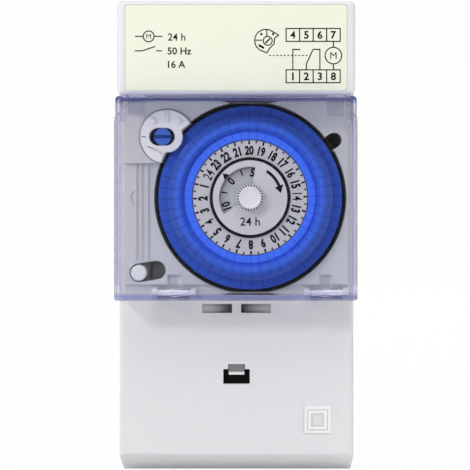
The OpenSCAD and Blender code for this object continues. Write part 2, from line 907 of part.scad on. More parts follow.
module minute_arbor() {
    color(steel) upright() {
        rod(dial_at, arbor_r, arbor_end, knob_d - 1.5);
        difference() {
            gear(dial_at, pinion_teeth, fine_module, train_turn + 180 / pinion_teeth, wheel_low, wheel_high);
            rod(dial_at, arbor_r - eps, wheel_low - 1, wheel_high + 1);
        }
    }
}

module minute_disc() {
    color(silver) upright() {
        ring(dial_at, arbor_r, minute_r, minute_d - minute_t, minute_d);
        ring(dial_at, arbor_r, arbor_r + minute_hub_w,
             minute_d - minute_t - minute_hub_h, minute_d - minute_t + eps);
    }
}

module setting_knob() {
    knurls = 38;
    color(white) upright() difference() {
        union() {
            translate(dial_at) slab(knob_back, knob_d - 0.3)
                polygon([for (i = [0:2 * knurls - 1]) polar(knob_r - 0.22 * (i % 2), 180 * i / knurls)]);
            rod(dial_at, knob_r - 0.4, knob_d - 0.3 - eps, knob_d);
            rod(dial_at, arbor_r + 0.9, minute_d, knob_back + eps);
        }
        rod(dial_at, arbor_r, minute_d - 1, knob_d - 1.5);
    }
}

module intermediate_gear() {
    color(white) upright() {
        rod(mid_at, arbor_r, arbor_end, disc_back - 0.3);
        difference() {
            gear(mid_at, wheel_teeth, fine_module, train_turn + 180, wheel_low, wheel_high);
            rod(mid_at, arbor_r - eps, wheel_low - 1, wheel_high + 1);
        }
        difference() {
            gear(mid_at, small_teeth, coarse_module, train_turn + 180 + 180 / small_teeth,
                 gear_back + 0.1, disc_back - 0.3);
            rod(mid_at, arbor_r - eps, gear_back, disc_back);
        }
    }
}

module motor_pinion() {
    color(brass) upright() {
        rod(motor_at, arbor_r, arbor_end + 0.2, wheel_high);
        difference() {
            gear(motor_at, pinion_teeth, fine_module, motor_turn + 180 + 180 / pinion_teeth,
                 wheel_low, wheel_high);
            rod(motor_at, arbor_r - eps, wheel_low - 1, wheel_high + 1);
        }
    }
}

module movement_frame() {
    low = min([for (at = frame_posts) at[1]]) - frame_edge;
    high = max([for (at = pillars) at[1]]) + plate_margin;
    left = min([for (at = frame_posts) at[0]]) - 2.4;
    right = max([for (at = frame_posts) at[0]]) + 1.2;
    color(grey) upright() difference() {
        union() {
            slab(frame_d - plate_t, frame_d) round_span(left, right, low, high, 3);
            for (at = pillars) rod(at, pillar_r, rear_d, frame_d - plate_t + eps);
        }
        for (at = [dial_at, mid_at]) rod(at, arbor_r + run_gap, frame_d - plate_t - 1, frame_d + 1);
        rod([left + plate_hole_in[0], high - plate_hole_in[0]], plate_hole_r,
            frame_d - plate_t - 1, frame_d + 1);
        rod([right - plate_hole_in[1], low + plate_hole_in[2]], plate_hole_r,
            frame_d - plate_t - 1, frame_d + 1);
    }
}

module rear_plate() {
    low = min([for (at = pillars) at[1]]) - plate_margin;
    high = max([for (at = pillars) at[1]]) + plate_margin;
    left = min([for (at = pillars) at[0]]) - plate_margin;
    right = max([for (at = pillars) at[0]]) + plate_margin;
    color(grey) upright() difference() {
        slab(arbor_end, rear_d) round_span(left, right, low, high, 3);
        for (at = [dial_at, mid_at, motor_at]) rod(at, arbor_r + run_gap, arbor_end - 1, rear_d + 1);
    }
}

module motor_body() {
    color(black) upright() {
        rod(motor_at, motor_r, motor_back, arbor_end);
        slab(arbor_end - 1.5, arbor_end)
            capsule(motor_at - [motor_r + 1, 0], motor_at + [motor_r + 1, 0], 3);
    }
}

// Electronics

module circuit_board() {
    color([0.1, 0.4, 0.2]) upright() slab(board_d, board_d + board_t)
        round_span(-board_half, board_half, board_low, board_up, 1);
}

module quartz_crystal() {
    at = [crystal_in - board_half, board_low + board_edge + crystal_r];
    color(steel) upright() slab(board_d + board_t, board_d + board_t + crystal_t)
        capsule(at, at + [crystal_l, 0], crystal_r);
}

module capacitor() {
    color([0.75, 0.6, 0.15]) upright()
        block(board_half - capacitor_in - capacitor_w, board_half - capacitor_in,
              board_low + board_edge, board_low + board_edge + capacitor_h,
              board_d + board_t, board_d + board_t + capacitor_t);
}

module reserve_battery() {
    color([0.2, 0.5, 0.3]) upright()
        rod([battery_in - board_half, board_up - battery_r - board_edge], battery_r,
            board_d + board_t, board_d + board_t + battery_h);
}

// Switch lever, override knob, plunger and mode button

module lever_outline() {
    beak_up = 29.8;
    neck_up = 24.2;
    beak_down = 256.7 - 360;
    neck_down = 264.5 - 360;
    far = 3 * lever_r;
    difference() {
        circle(lever_r);
        difference() {
            polygon([
                polar(hub_r - 0.3, neck_up - 0.5),
                polar(lever_r + 0.3, beak_up + 0.5),
                polar(far, beak_up),
                polar(far, (beak_up + beak_down) / 2),
                polar(far, beak_down),
                polar(lever_r + 0.3, beak_down - 0.6),
                polar(hub_r - 0.3, neck_down + 0.6)
            ]);
            circle(hub_r);
        }
    }
}

module switch_lever() {
    oval_mid = override_at - [0.16, 0];
    oval_run = oval_l / 2 - oval_half;
    color([0.88, 0.88, 0.89]) upright() difference() {
        union() {
            translate(lever_at) slab(lever_low, lever_front) lever_outline();
            translate(lever_at)
                block(-0.9, 0.9, hub_r - 0.5, lever_r - 0.2, lever_front - eps, lever_front + 0.3);
        }
        slab(oval_floor, lever_front + 1)
            capsule(oval_mid - [oval_run, 0], oval_mid + [oval_run, 0], oval_half);
        rod(override_at, shaft_r + run_gap, lever_low - 1, lever_front);
        for (side = [-1, 1]) rod(lever_at + [4.1 * side, 5], 1.15, lever_front - 0.35, lever_front + 1);
        rod(pin_at, pin_r, lever_low - 1, lever_low + 1.2);
    }
}

module lever_pin() {
    color(steel) upright() rod(pin_at, pin_r, pin_end, lever_low + 1.2);
}

module override_knob() {
    head_back = oval_floor + 0.15;
    color(blue) upright() difference() {
        union() {
            rod(override_at, override_r, head_back, lever_front - 0.2);
            rod(override_at, shaft_r, frame_d + 1, head_back + eps);
            rod(override_at, shaft_r + 0.8, frame_d + 1, face_back - 0.2);
        }
        translate(override_at) block(-through, through, -0.6, 0.6, lever_front - 0.9, lever_front + 1);
    }
}

plunger_half = 1.2;
plunger_tip = pin_at[0] - pin_r - 0.06;

module snap_switch() {
    color(black) upright() difference() {
        block(switch_x - switch_w, switch_x, pin_at[1] - switch_h / 2, pin_at[1] + switch_h / 2,
              switch_back, switch_front);
        block(switch_x - 4.4, switch_x + 1,
              pin_at[1] - plunger_half - run_gap, pin_at[1] + plunger_half + run_gap,
              pin_end + 0.5 - run_gap, pin_end + 0.5 + 2 * plunger_half + run_gap);
    }
}

module switch_plunger() {
    color([0.75, 0.15, 0.12]) upright()
        block(switch_x - 3.2, plunger_tip, pin_at[1] - plunger_half, pin_at[1] + plunger_half,
              pin_end + 0.5, pin_end + 0.5 + 2 * plunger_half);
}

module mode_button() {
    color([0.9, 0.9, 0.92]) upright() {
        rod(button_at, button_r, flange_front - eps, face_d + 0.4);
        slab(flange_back, flange_front)
            translate(button_at) round_span(0.1 - slot_r, slot_r + 0.6, -slot_r - 0.4, slot_r + 0.6, 0.8);
    }
}

// Clear cover

module cover_shell() {
    difference() {
        soft_block(-cover_half, cover_half, -cover_low, cover_up, cover_back, cover_d, edge_r, 1.2);
        block(-cover_inner, cover_inner, cover_wall - cover_low, cover_up - cover_wall,
              cover_back - 1, cover_d - cover_wall);
        block(-through - half_w, through + half_w, -cover_low - 1, -face_low, cover_back - 1, cover_step);
        block(-cover_inner, cover_inner, cover_up - cover_wall - 1, cover_up + 1,
              cover_back - 1, platform_d + 0.4);
    }
}

// Thick places behind the finger notches
module cover_corners() {
    for (side = [0, 1]) mirror([side, 0, 0])
        block(cover_half - finger_w - 1, cover_inner + eps, cover_up - finger_h - finger_w - 1,
              cover_up - cover_wall + eps, cover_d - finger_d - 1, cover_d - cover_wall + eps);
}

// Finger notches in the upper corners
module finger_notches() {
    for (side = [0, 1]) mirror([side, 0, 0])
        slab(cover_d - finger_d, cover_d + 1) polygon([
            [cover_half - finger_w, cover_up + 1],
            [cover_half + 1, cover_up + 1],
            [cover_half + 1, cover_up - finger_h - finger_w],
            [cover_half, cover_up - finger_h - finger_w],
            [cover_half - finger_w, cover_up - finger_h]
        ]);
}

// Knuckle on the hinge pin, with the web to the cover's lower wall and the arm into the face plate
module hinge_knuckle(x) {
    cross_rod(x - knuckle_w / 2, x + knuckle_w / 2, -hinge_low, hinge_d, knuckle_r);
    block(x - knuckle_w / 2, x + knuckle_w / 2, -hinge_low - knuckle_r, cover_wall - cover_low,
          hinge_d, cover_step + 1);
    block(x - arm_w / 2, x + arm_w / 2, -hinge_low, -face_low + 2.6, hinge_d - 1.2, hinge_d + 0.4);
}

module clear_cover() {
    lug_out = cover_inner - 2.5;
    lug_in = lug_out - 5;
    lug_low = cover_up - 6.3;
    nub_x = cover_inner - 10.4;
    color([0.85, 0.87, 0.92, 0.35]) upright() difference() {
        union() {
            cover_shell();
            for (x = hinge_xs) hinge_knuckle(x);
            for (side = [0, 1]) mirror([side, 0, 0])
                block(lug_in, lug_out, lug_low, cover_up - cover_wall + eps,
                      cover_d - 8, cover_d - cover_wall + eps);
            cover_corners();
            for (side = [-1, 1]) translate([nub_x * side, cover_up - 0.6, cover_d - 5]) sphere(0.9);
        }
        finger_notches();
        for (x = hinge_xs)
            cross_rod(x - knuckle_w, x + knuckle_w, -hinge_low, hinge_d, hinge_pin_r + run_gap);
    }
}

// Terminal bay

module terminal_pockets(grow) {
    for (row = terminal_rows, x = terminal_xs) {
        half = clamp_w / 2 + grow;
        block(x - half, x + half, row[0] - half, row[0] + half, row[1] - clamp_h - grow, row[1] + 1);
    }
}

module wire_holes() {
    for (row = [0, 1], x = terminal_xs)
        translate([x, terminal_rows[row][0], terminal_rows[row][1] - clamp_h / 2 - 1])
            rotate([90, 0, 0]) cylinder(r = wire_r, h = block_step);
}

// Hook that shows in the window of the terminal cover
module latch_hook() {
    front = term_d - 0.3;
    along_x(-hook_half, hook_half) polygon([
        [latch_top - 0.2, floor_d + block_low - 1],
        [latch_top - 0.2, front - 0.6],
        [latch_top - 0.8, front],
        [latch_top - 3.4, front],
        [latch_top - 3.4, front - 1.2],
        [latch_top - 1.8, front - 1.8],
        [latch_top - 1.8, floor_d + block_low - 1]
    ]);
}

module terminal_block() {
    half = inner_w - 1;
    color(white) upright() difference() {
        union() {
            block(-half, half, block_mid, block_top, floor_d, floor_d + block_high);
            block(-half, half, block_end, block_mid + eps, floor_d, floor_d + block_low);
            latch_hook();
        }
        terminal_pockets(clamp_gap);
        wire_holes();
    }
}

module terminal_clamps() {
    color(brass) upright() difference() {
        for (row = terminal_rows, x = terminal_xs) {
            half = clamp_w / 2;
            block(x - half, x + half, row[0] - half, row[0] + half, row[1] - clamp_h - clamp_gap, row[1] - 1);
        }
        wire_holes();
        for (row = terminal_rows, x = terminal_xs) rod([x, row[0]], 1.75, row[1] - 5, row[1]);
    }
}

module terminal_screws() {
    color(steel) upright() for (row = terminal_rows, x = terminal_xs) {
        rod([x, row[0]], 1.75, row[1] - 4, row[1] - 1 + eps);
        difference() {
            rod([x, row[0]], screw_head_r, row[1] - 1, row[1] + 0.8);
            block(x - screw_head_r, x + screw_head_r, row[0] - 0.5, row[0] + 0.5, row[1], row[1] + 1);
        }
    }
}

// Side outline of the terminal cover, drawn in by the distance inset, from depth z0 to the front
module cover_side(inset, z0) {
    front = term_d - inset;
    r = edge_r;
    low = term_edge + inset / 2;
    span(low + r, term_top - inset, z0, front);
    translate([low + r, front - r]) circle(r);
    polygon([
        [term_bottom + inset, z0],
        [term_top - inset, z0],
        [term_top - inset, front - r],
        [low, front - r],
        [term_bottom + inset, split_d + 2]
    ]);
}

module square_frame(side, line) {
    difference() {
        square(side, center = true);
        square(side - 2 * line, center = true);
    }
}

module terminal_cover() {
    seal_half = 11;
    seal_rib = 1.45;
    seal_top = term_top - 1.6;
    relief_at = [half_w - 11.6, term_bottom + 18.7];
    color(white) upright() {
        difference() {
            intersection() {
                along_x(-half_w, half_w) cover_side(0, split_d);
                along_y(term_bottom - 1, term_top + 1) front_round(-half_w, half_w, split_d, term_d, edge_r);
            }
            along_x(-inner_w, inner_w) cover_side(wall, split_d - 1);
            for (side = [0, 1]) mirror([side, 0, 0]) along_y(seal_top - 2.9, seal_top) polygon([
                [seal_rib, term_d + 1],
                [seal_rib, term_d - 1.4],
                [seal_half, term_d - 0.4],
                [seal_half, term_d + 1]
            ]);
            block(-latch_half, latch_half, latch_sill, latch_top - 1.6, term_d - wall - 1, term_d + 1);
            block(-hook_half - 0.2, hook_half + 0.2, latch_top - 2, latch_top, term_d - wall - 1, term_d + 1);
        }
        translate(relief_at) slab(term_d - eps, term_d + 0.3) {
            square_frame(relief_w, 0.9);
            square_frame(relief_w * 0.62, 0.9);
        }
    }
}

// Pieces

base();
front_housing();
face_plate();
label_plate();
centre_cup();
centre_disc();
movement_frame();
rear_plate();
circuit_board();
quartz_crystal();
capacitor();
reserve_battery();
motor_body();
snap_switch();
terminal_block();
terminal_clamps();
terminal_screws();
housing_screws();
hinge_pins();
dial_carrier();
hour_ring();
for (hour = [1:hours])
    tappets(hour);
minute_arbor();
minute_disc();
setting_knob();
intermediate_gear();
motor_pinion();
clear_cover();
switch_lever();
lever_pin();
override_knob();
switch_plunger();
mode_button();
rail_clip();
clip_spring();
terminal_cover();
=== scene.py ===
"""Looks of a timer switch for a 35 mm rail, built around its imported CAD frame.

Places on the front are written as x to the right, y up and z towards the viewer, in millimetres.
on_front() turns them into the frame's metres: X = x, Y = -z, Z = y.
"""

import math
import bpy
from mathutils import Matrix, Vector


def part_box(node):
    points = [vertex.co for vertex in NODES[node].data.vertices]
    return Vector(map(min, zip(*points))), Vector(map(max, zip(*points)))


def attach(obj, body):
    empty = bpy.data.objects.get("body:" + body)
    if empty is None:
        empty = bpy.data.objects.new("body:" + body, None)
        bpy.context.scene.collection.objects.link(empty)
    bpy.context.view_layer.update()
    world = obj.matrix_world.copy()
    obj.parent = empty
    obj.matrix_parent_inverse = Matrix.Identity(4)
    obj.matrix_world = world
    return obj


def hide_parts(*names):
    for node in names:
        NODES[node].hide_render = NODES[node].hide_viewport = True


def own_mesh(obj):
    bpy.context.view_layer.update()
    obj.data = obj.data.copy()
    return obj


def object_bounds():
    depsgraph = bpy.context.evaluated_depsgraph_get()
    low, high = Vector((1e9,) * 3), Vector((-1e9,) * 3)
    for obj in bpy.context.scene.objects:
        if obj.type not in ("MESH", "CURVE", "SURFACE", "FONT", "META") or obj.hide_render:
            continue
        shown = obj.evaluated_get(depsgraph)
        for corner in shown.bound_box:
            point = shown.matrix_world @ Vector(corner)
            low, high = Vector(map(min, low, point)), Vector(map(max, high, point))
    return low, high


bl_info = {
    "name": "Timer switch looks",
    "version": (1, 0, 0),
    "blender": (4, 5, 0),
    "location": "View3D > Sidebar > Timer switch",
    "description": "Prints, tappets, knobs, finishes and stage of a rail-mounted timer switch",
    "category": "Object",
}

import bmesh
import bpy
import numpy as np

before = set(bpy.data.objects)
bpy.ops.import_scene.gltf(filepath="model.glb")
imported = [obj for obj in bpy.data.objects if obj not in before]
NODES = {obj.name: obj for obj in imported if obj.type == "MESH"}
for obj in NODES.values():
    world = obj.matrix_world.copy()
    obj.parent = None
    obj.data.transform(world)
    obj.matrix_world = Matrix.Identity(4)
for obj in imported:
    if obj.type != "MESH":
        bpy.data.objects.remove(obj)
CAD_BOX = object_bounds()
MM = 0.001

HOURS = 24
TAPPETS_PER_HOUR = 2
HOUR_STEP = 360 / HOURS
TAPPET_STEP = HOUR_STEP / TAPPETS_PER_HOUR
DIAL_TURN = 91.0
HOUR_AT_TURN = 20


def node_span(node):
    """Lowest and highest x, y and z of a CAD node on the front, in millimetres."""
    low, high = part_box(node)
    lows = np.array([low.x, low.z, -high.y]) / MM
    highs = np.array([high.x, high.z, -low.y]) / MM
    return lows, highs


def node_middle(node):
    """Middle of a CAD node on the front, in millimetres: x and y."""
    lows, highs = node_span(node)
    middle = (lows + highs) / 2
    return middle[:2]


def front_of(node):
    """Depth of a CAD node's foremost point, in millimetres."""
    return node_span(node)[1][2]


DIAL_AT = node_middle("hour_ring")
OVERRIDE_AT = node_middle("override_knob")
FACE_LOW = node_span("face_plate")[0][1]
# Depth of the face plate and of the strips below it, the edges of the dial's well, and the inner and
# outer radius of the painted shade band along the well's edge
FACE_DEPTH = 32.5
LIP_DEPTH = 31.1
LIP_LOW = -16.15
WELL_RADIUS = 30.15
WELL_TOP = DIAL_AT[1] + 30.1
WELL_SHADE_BAND = (29.95, 30.65)

# Heaviest offset of the strokes at which the font's 4 keeps its counter open
FOUR_BOLD = 0.012

SIDES = ((-1, "left"), (1, "right"))


# Properties that a user would change

class TimerSizes(bpy.types.PropertyGroup):
    """Sizes of the pieces made here."""
    ink: bpy.props.FloatProperty(
        name="Ink", description="Thickness of the printed ink", default=0.02 * MM, unit="LENGTH")
    knurls: bpy.props.IntProperty(
        name="Knurls", description="Teeth around the setting knob", default=28)
    tappet_gap: bpy.props.FloatProperty(
        name="Tappet gap", description="Angle left open between tappets", default=math.radians(0.24),
        subtype="ANGLE")
    camera_distance: bpy.props.FloatProperty(
        name="Camera distance", description="From the rail seat to the camera", default=0.53,
        unit="LENGTH")
    lens: bpy.props.FloatProperty(
        name="Lens", description="Focal length in millimetres", default=119.5)


def tint(name, description, *default):
    """Colour property of a finish."""
    return bpy.props.FloatVectorProperty(
        name=name, description=description, subtype="COLOR", default=default)


class TimerColours(bpy.types.PropertyGroup):
    """Colours of the finishes."""
    housing: tint("Housing", "White moulded housing", 0.72, 0.725, 0.735)
    label: tint("Label", "Cream label film", 0.8, 0.82, 0.675)
    face: tint("Face", "Grey face plate", 0.61, 0.615, 0.628)
    tappet: tint("Tappets", "Blue tappets", 0.06, 0.185, 0.97)
    # Painted shade: a darker copy of the tappets' blue, for the shade that the tall tappet ring casts on
    # the dial
    carrier: tint("Carrier", "Darker blue dial under the tappets", 0.026, 0.095, 0.52)
    silver: tint("Silver", "Silver centre disc", 0.6, 0.605, 0.625)
    knob: tint("Knob", "White knob and button", 0.8, 0.8, 0.805)
    ink: tint("Ink", "Dark print", 0.006, 0.006, 0.007)
    dark: tint("Dark", "Black mouldings", 0.005, 0.005, 0.006)
    clear: tint("Clear", "Tint of the clear cover", 0.96, 0.96, 0.97)
    # Painted shade: a darker, bluer tint on the cover's upper and lower walls than on its other walls
    clear_band: tint("Clear band", "Tint along the cover's upper and lower walls", 0.72, 0.75, 0.92)
    clear_shade: tint("Clear shade", "Tint of the lamps' light that crosses those walls", 0.3, 0.3, 0.34)
    clear_depth: tint("Clear depth", "Tint of the clear cover's thick walls", 0.52, 0.5, 0.72)


def sizes():
    return bpy.context.scene.timer_sizes


def colours():
    return bpy.context.scene.timer_colours


# Shapes as whole arrays

def on_front(x, y, z):
    """Points of the frame in metres from places on the front in millimetres."""
    x, y, z = np.broadcast_arrays(x, y, z)
    return np.stack([x, -z, y], axis=-1).reshape(-1, 3) * MM


def grid_quads(rows, columns, wrap_rows=False, wrap_columns=False):
    """Corners of the quads of a grid of points that is stored row by row."""
    row = np.arange(rows if wrap_rows else rows - 1)[:, None]
    column = np.arange(columns if wrap_columns else columns - 1)[None, :]
    next_row = (row + 1) % rows
    next_column = (column + 1) % columns
    corners = [row * columns + column, row * columns + next_column,
               next_row * columns + next_column, next_row * columns + column]
    return np.stack(np.broadcast_arrays(*corners), axis=-1).reshape(-1, 4)


def polar(radius, degrees):
    """Point at a radius and a direction, as x and y."""
    turn = np.radians(degrees)
    return radius * np.cos(turn), radius * np.sin(turn)


def on_dial(radius, degrees):
    """Places at a radius and a direction from the dial's middle, with x and y along the last axis."""
    return DIAL_AT + np.stack(polar(radius, degrees), axis=-1)


def rectangle(left, right, low, high):
    """Corners of a rectangle, counter-clockwise."""
    return np.array([(left, low), (right, low), (right, high), (left, high)])


def rounded_outline(corners, radius, steps=5):
    """Closed outline with every corner replaced by a curve of one radius.

    Each corner P between the points A and B of its two edges is the quadratic curve
    (1-t)^2 A + 2t(1-t) P + t^2 B, where A and B lie one radius away from P.
    """
    corners = np.asarray(corners, float)
    before = np.roll(corners, 1, axis=0) - corners
    after = np.roll(corners, -1, axis=0) - corners
    length_before = np.linalg.norm(before, axis=1, keepdims=True)
    length_after = np.linalg.norm(after, axis=1, keepdims=True)
    reach = np.minimum(radius, 0.45 * np.minimum(length_before, length_after))
    start = corners + before / length_before * reach
    end = corners + after / length_after * reach
    t = np.linspace(0, 1, steps)[None, :, None]
    curve = (1 - t) ** 2 * start[:, None] + 2 * t * (1 - t) * corners[:, None] + t ** 2 * end[:, None]
    return curve.reshape(-1, 2)


def bent(start, pull, end, steps=8):
    """Quadratic curve (1-t)^2 start + 2t(1-t) pull + t^2 end, as rows of points."""
    t = np.linspace(0, 1, steps)[:, None]
    start, pull, end = (np.asarray(point, float) for point in (start, pull, end))
    return (1 - t) ** 2 * start + 2 * t * (1 - t) * pull + t ** 2 * end


def drawn_in(outline, distance):
    """A counter-clockwise closed outline moved inwards along its normals."""
    along = np.roll(outline, -1, axis=0) - np.roll(outline, 1, axis=0)
    inward = np.stack([-along[:, 1], along[:, 0]], axis=1)
    inward /= np.linalg.norm(inward, axis=1, keepdims=True)
    return outline + distance * inward


def make_piece(name, points, faces, material, body, replaces=(), smooth=True):
    """Mesh object at the origin from arrays, riding on a body and dressed in one material."""
    mesh = bpy.data.meshes.new(name)
    mesh.from_pydata(points.tolist(), [], [list(face) for face in faces])
    mesh.polygons.foreach_set("use_smooth", np.full(len(mesh.polygons), smooth))
    mesh.validate()
    mesh.update()
    piece = bpy.data.objects.new(name, mesh)
    bpy.context.scene.collection.objects.link(piece)
    mesh.materials.append(material)
    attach(piece, body)
    if replaces:
        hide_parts(*replaces)
    return piece


def point_outwards(piece):
    """Recalculates a closed piece's normals after its doubles are merged."""
    shape = bmesh.new()
    shape.from_mesh(piece.data)
    bmesh.ops.remove_doubles(shape, verts=shape.verts, dist=1e-7)
    bmesh.ops.recalc_face_normals(shape, faces=shape.faces)
    shape.to_mesh(piece.data)
    shape.free()
    piece.data.update()


def sharpen(piece, degrees):
    """Flat shading across edges that turn more than this."""
    piece.data.set_sharp_from_angle(angle=math.radians(degrees))


class Print:
    """Collects flat strokes, arcs, discs and letters, then makes one thin printed piece of them."""

    def __init__(self):
        self.points = []
        self.faces = []
        self.count = 0

    def add(self, flat, faces):
        flat = np.asarray(flat, float).reshape(-1, 2)
        self.points.append(flat)
        self.faces += [[int(corner) + self.count for corner in face] for face in faces]
        self.count += len(flat)

    def polygon(self, corners):
        corners = np.asarray(corners, float)
        self.add(corners, [range(len(corners))])

    def stroke(self, x0, y0, x1, y1, width):
        """Straight line: the two end points moved half a width to each side."""
        along = np.array([x1 - x0, y1 - y0], float)
        side = np.array([-along[1], along[0]]) / np.linalg.norm(along) * width / 2
        start, end = np.array([x0, y0]), np.array([x1, y1])
        self.polygon([start - side, end - side, end + side, start + side])

    def arc(self, x, y, radius, width, first, last, steps=24):
        """Round line: two arcs half a width inside and outside the radius."""
        turns = np.linspace(first, last, steps)
        rims = np.array([[radius - width / 2], [radius + width / 2]])
        px, py = polar(rims, turns[None, :])
        quads = grid_quads(2, steps)
        self.add(np.stack([x + px, y + py], axis=-1), quads[:, ::-1])

    def ring(self, x, y, radius, width, steps=40):
        self.arc(x, y, radius, width, 0, 360, steps + 1)

    def disc(self, x, y, radius, steps=16):
        px, py = polar(radius, np.arange(steps) * 360 / steps)
        self.polygon(np.stack([x + px, y + py], axis=-1))

    def frame(self, x0, x1, y0, y1, width):
        """Rectangle drawn as a line."""
        outer = rectangle(x0, x1, y0, y1)
        inner = rectangle(x0 + width, x1 - width, y0 + width, y1 - width)
        corners = np.concatenate([outer, inner])
        self.add(corners, [(k, (k + 1) % 4, 4 + (k + 1) % 4, 4 + k) for k in range(4)])

    def letters(self, text, x, y, height, bold, turn=0.0, stretch=1.0):
        """Letters made a mesh, centred, turned by degrees and moved to x and y."""
        flat, faces = letter_mesh(text, min(bold, FOUR_BOLD) if "4" in text else bold)
        flat = flat * np.array([stretch, 1.0]) * height
        spin = math.radians(turn)
        matrix = np.array([[math.cos(spin), math.sin(spin)], [-math.sin(spin), math.cos(spin)]])
        self.add(flat @ matrix + np.array([x, y]), faces)

    def lay(self, name, depth, material, body, slot, thickness=None):
        """The print as a thin closed film whose back lies at the depth z."""
        flat = np.concatenate(self.points)
        points = on_front(flat[:, 0], flat[:, 1], depth)
        piece = make_piece(name, points, self.faces, material, body, smooth=False)
        film = piece.modifiers.new("film", "SOLIDIFY")
        film.thickness = thickness or sizes().ink
        film.offset = 1


letter_cache = {}


def letter_mesh(text, bold):
    """Points and faces of a text of height 1, centred on its middle; bold widens its strokes."""
    if (text, bold) not in letter_cache:
        curve = bpy.data.curves.new("letters", "FONT")
        curve.body = text
        curve.size = 1.0
        curve.offset = bold
        curve.resolution_u = 3
        holder = bpy.data.objects.new("letters", curve)
        bpy.context.scene.collection.objects.link(holder)
        bpy.context.view_layer.update()
        depsgraph = bpy.context.evaluated_depsgraph_get()
        mesh = bpy.data.meshes.new_from_object(holder.evaluated_get(depsgraph))
        flat = np.zeros(len(mesh.vertices) * 3)
        mesh.vertices.foreach_get("co", flat)
        flat = flat.reshape(-1, 3)[:, :2]
        low, high = flat.min(axis=0), flat.max(axis=0)
        flat = (flat - (low + high) / 2) / (high[1] - low[1])
        faces = [tuple(polygon.vertices) for polygon in mesh.polygons]
        letter_cache[text, bold] = flat, faces
        bpy.data.objects.remove(holder)
        bpy.data.curves.remove(curve)
        bpy.data.meshes.remove(mesh)
    return letter_cache[text, bold]


# Finishes

BUMP = 0.02 * MM
GRAIN_SCALE = 3500.0
MOTTLE_SCALE = 70.0
RING_SCALE = 2600.0


def add_node(tree, kind, operation=None):
    """New shader node of a kind, with its operation if it has one."""
    node = tree.nodes.new("ShaderNode" + kind)
    if operation:
        node.operation = operation
    return node


def set_inputs(node, values):
    """Gives a node's inputs their values by name."""
    for label, value in values.items():
        node.inputs[label].default_value = value


def join(tree, *links):
    """Links pairs of an output and an input."""
    for source, target in links:
        tree.links.new(source, target)


def colour_mix(tree, values):
    """New node that mixes the colours A and B by a factor."""
    mix = add_node(tree, "Mix")
    mix.data_type = "RGBA"
    set_inputs(mix, values)
    return mix


def add_group(tree, group, values):
    """New node of a group, with values for its inputs."""
    node = add_node(tree, "Group")
    node.node_tree = group
    set_inputs(node, values)
    return node


def new_group(name, inputs, outputs):
    """Shader node group with named float inputs and outputs."""
    group = bpy.data.node_groups.new(name, "ShaderNodeTree")
    for label in inputs:
        group.interface.new_socket(label, in_out="INPUT", socket_type="NodeSocketFloat")
    for label in outputs:
        group.interface.new_socket(label, in_out="OUTPUT", socket_type="NodeSocketFloat")
    return group, group.nodes.new("NodeGroupInput"), group.nodes.new("NodeGroupOutput")


def moulding_group():
    """Moulded plastic: a fine spark-eroded grain, and a broad soft mottle of shade."""
    name = "moulding"
    if name in bpy.data.node_groups:
        return bpy.data.node_groups[name]
    group, given, result = new_group(name, ["Grain scale", "Mottle scale"], ["Height", "Mottle"])
    place = add_node(group, "TexCoord")
    for scale, detail, output in (("Grain scale", 3.0, "Height"), ("Mottle scale", 2.0, "Mottle")):
        noise = add_node(group, "TexNoise")
        noise.inputs["Detail"].default_value = detail
        join(group, (place.outputs["Object"], noise.inputs["Vector"]),
             (given.outputs[scale], noise.inputs["Scale"]), (noise.outputs["Fac"], result.inputs[output]))
    return group


def axis_distance(group, given):
    """Distance from the axis along Y through the middle that a group is given."""
    place = add_node(group, "TexCoord")
    split = add_node(group, "SeparateXYZ")
    here = add_node(group, "CombineXYZ")
    middle = add_node(group, "CombineXYZ")
    distance = add_node(group, "VectorMath", "DISTANCE")
    join(group, (place.outputs["Object"], split.inputs["Vector"]))
    for axis in "XZ":
        join(group, (split.outputs[axis], here.inputs[axis]),
             (given.outputs[f"Middle {axis}"], middle.inputs[axis]))
    join(group, (here.outputs["Vector"], distance.inputs[0]),
         (middle.outputs["Vector"], distance.inputs[1]))
    return distance.outputs["Value"]


def turned_group():
    """Fine rings round an axis along Y: a noise of the distance from it."""
    name = "turned_rings"
    if name in bpy.data.node_groups:
        return bpy.data.node_groups[name]
    group, given, result = new_group(name, ["Middle X", "Middle Z", "Ring scale"], ["Rings"])
    noise = add_node(group, "TexNoise")
    noise.noise_dimensions = "1D"
    noise.inputs["Detail"].default_value = 2.0
    join(group, (axis_distance(group, given), noise.inputs["W"]),
         (given.outputs["Ring scale"], noise.inputs["Scale"]),
         (noise.outputs["Fac"], result.inputs["Rings"]))
    return group


def fade_group():
    """Mask that goes from 0 to 1 between two distances from an axis along Y."""
    name = "axis_fade"
    if name in bpy.data.node_groups:
        return bpy.data.node_groups[name]
    group, given, result = new_group(name, ["Middle X", "Middle Z", "Near", "Far"], ["Mask"])
    step = add_node(group, "MapRange")
    join(group, (axis_distance(group, given), step.inputs["Value"]),
         (given.outputs["Near"], step.inputs["From Min"]),
         (given.outputs["Far"], step.inputs["From Max"]), (step.outputs["Result"], result.inputs["Mask"]))
    return group


def darken(material, middle, near, far, share):
    """Paints shade into a finish: multiplies its colour by a share where the fade mask is 1."""
    tree = material.node_tree
    colour = tree.nodes["Principled BSDF"].inputs["Base Color"]
    fade = add_group(tree, fade_group(), {"Middle X": middle[0] * MM, "Middle Z": middle[1] * MM,
                                          "Near": near * MM, "Far": far * MM})
    tone = colour_mix(tree, {"B": (share, share, share, 1)})
    tone.blend_type = "MULTIPLY"
    join(tree, (fade.outputs["Mask"], tone.inputs["Factor"]),
         (colour.links[0].from_socket, tone.inputs["A"]), (tone.outputs["Result"], colour))


def new_material(name):
    """Material with one Principled shader; returns the material, its node tree and that shader."""
    material = bpy.data.materials.new(name)
    material.use_nodes = True
    return material, material.node_tree, material.node_tree.nodes["Principled BSDF"]


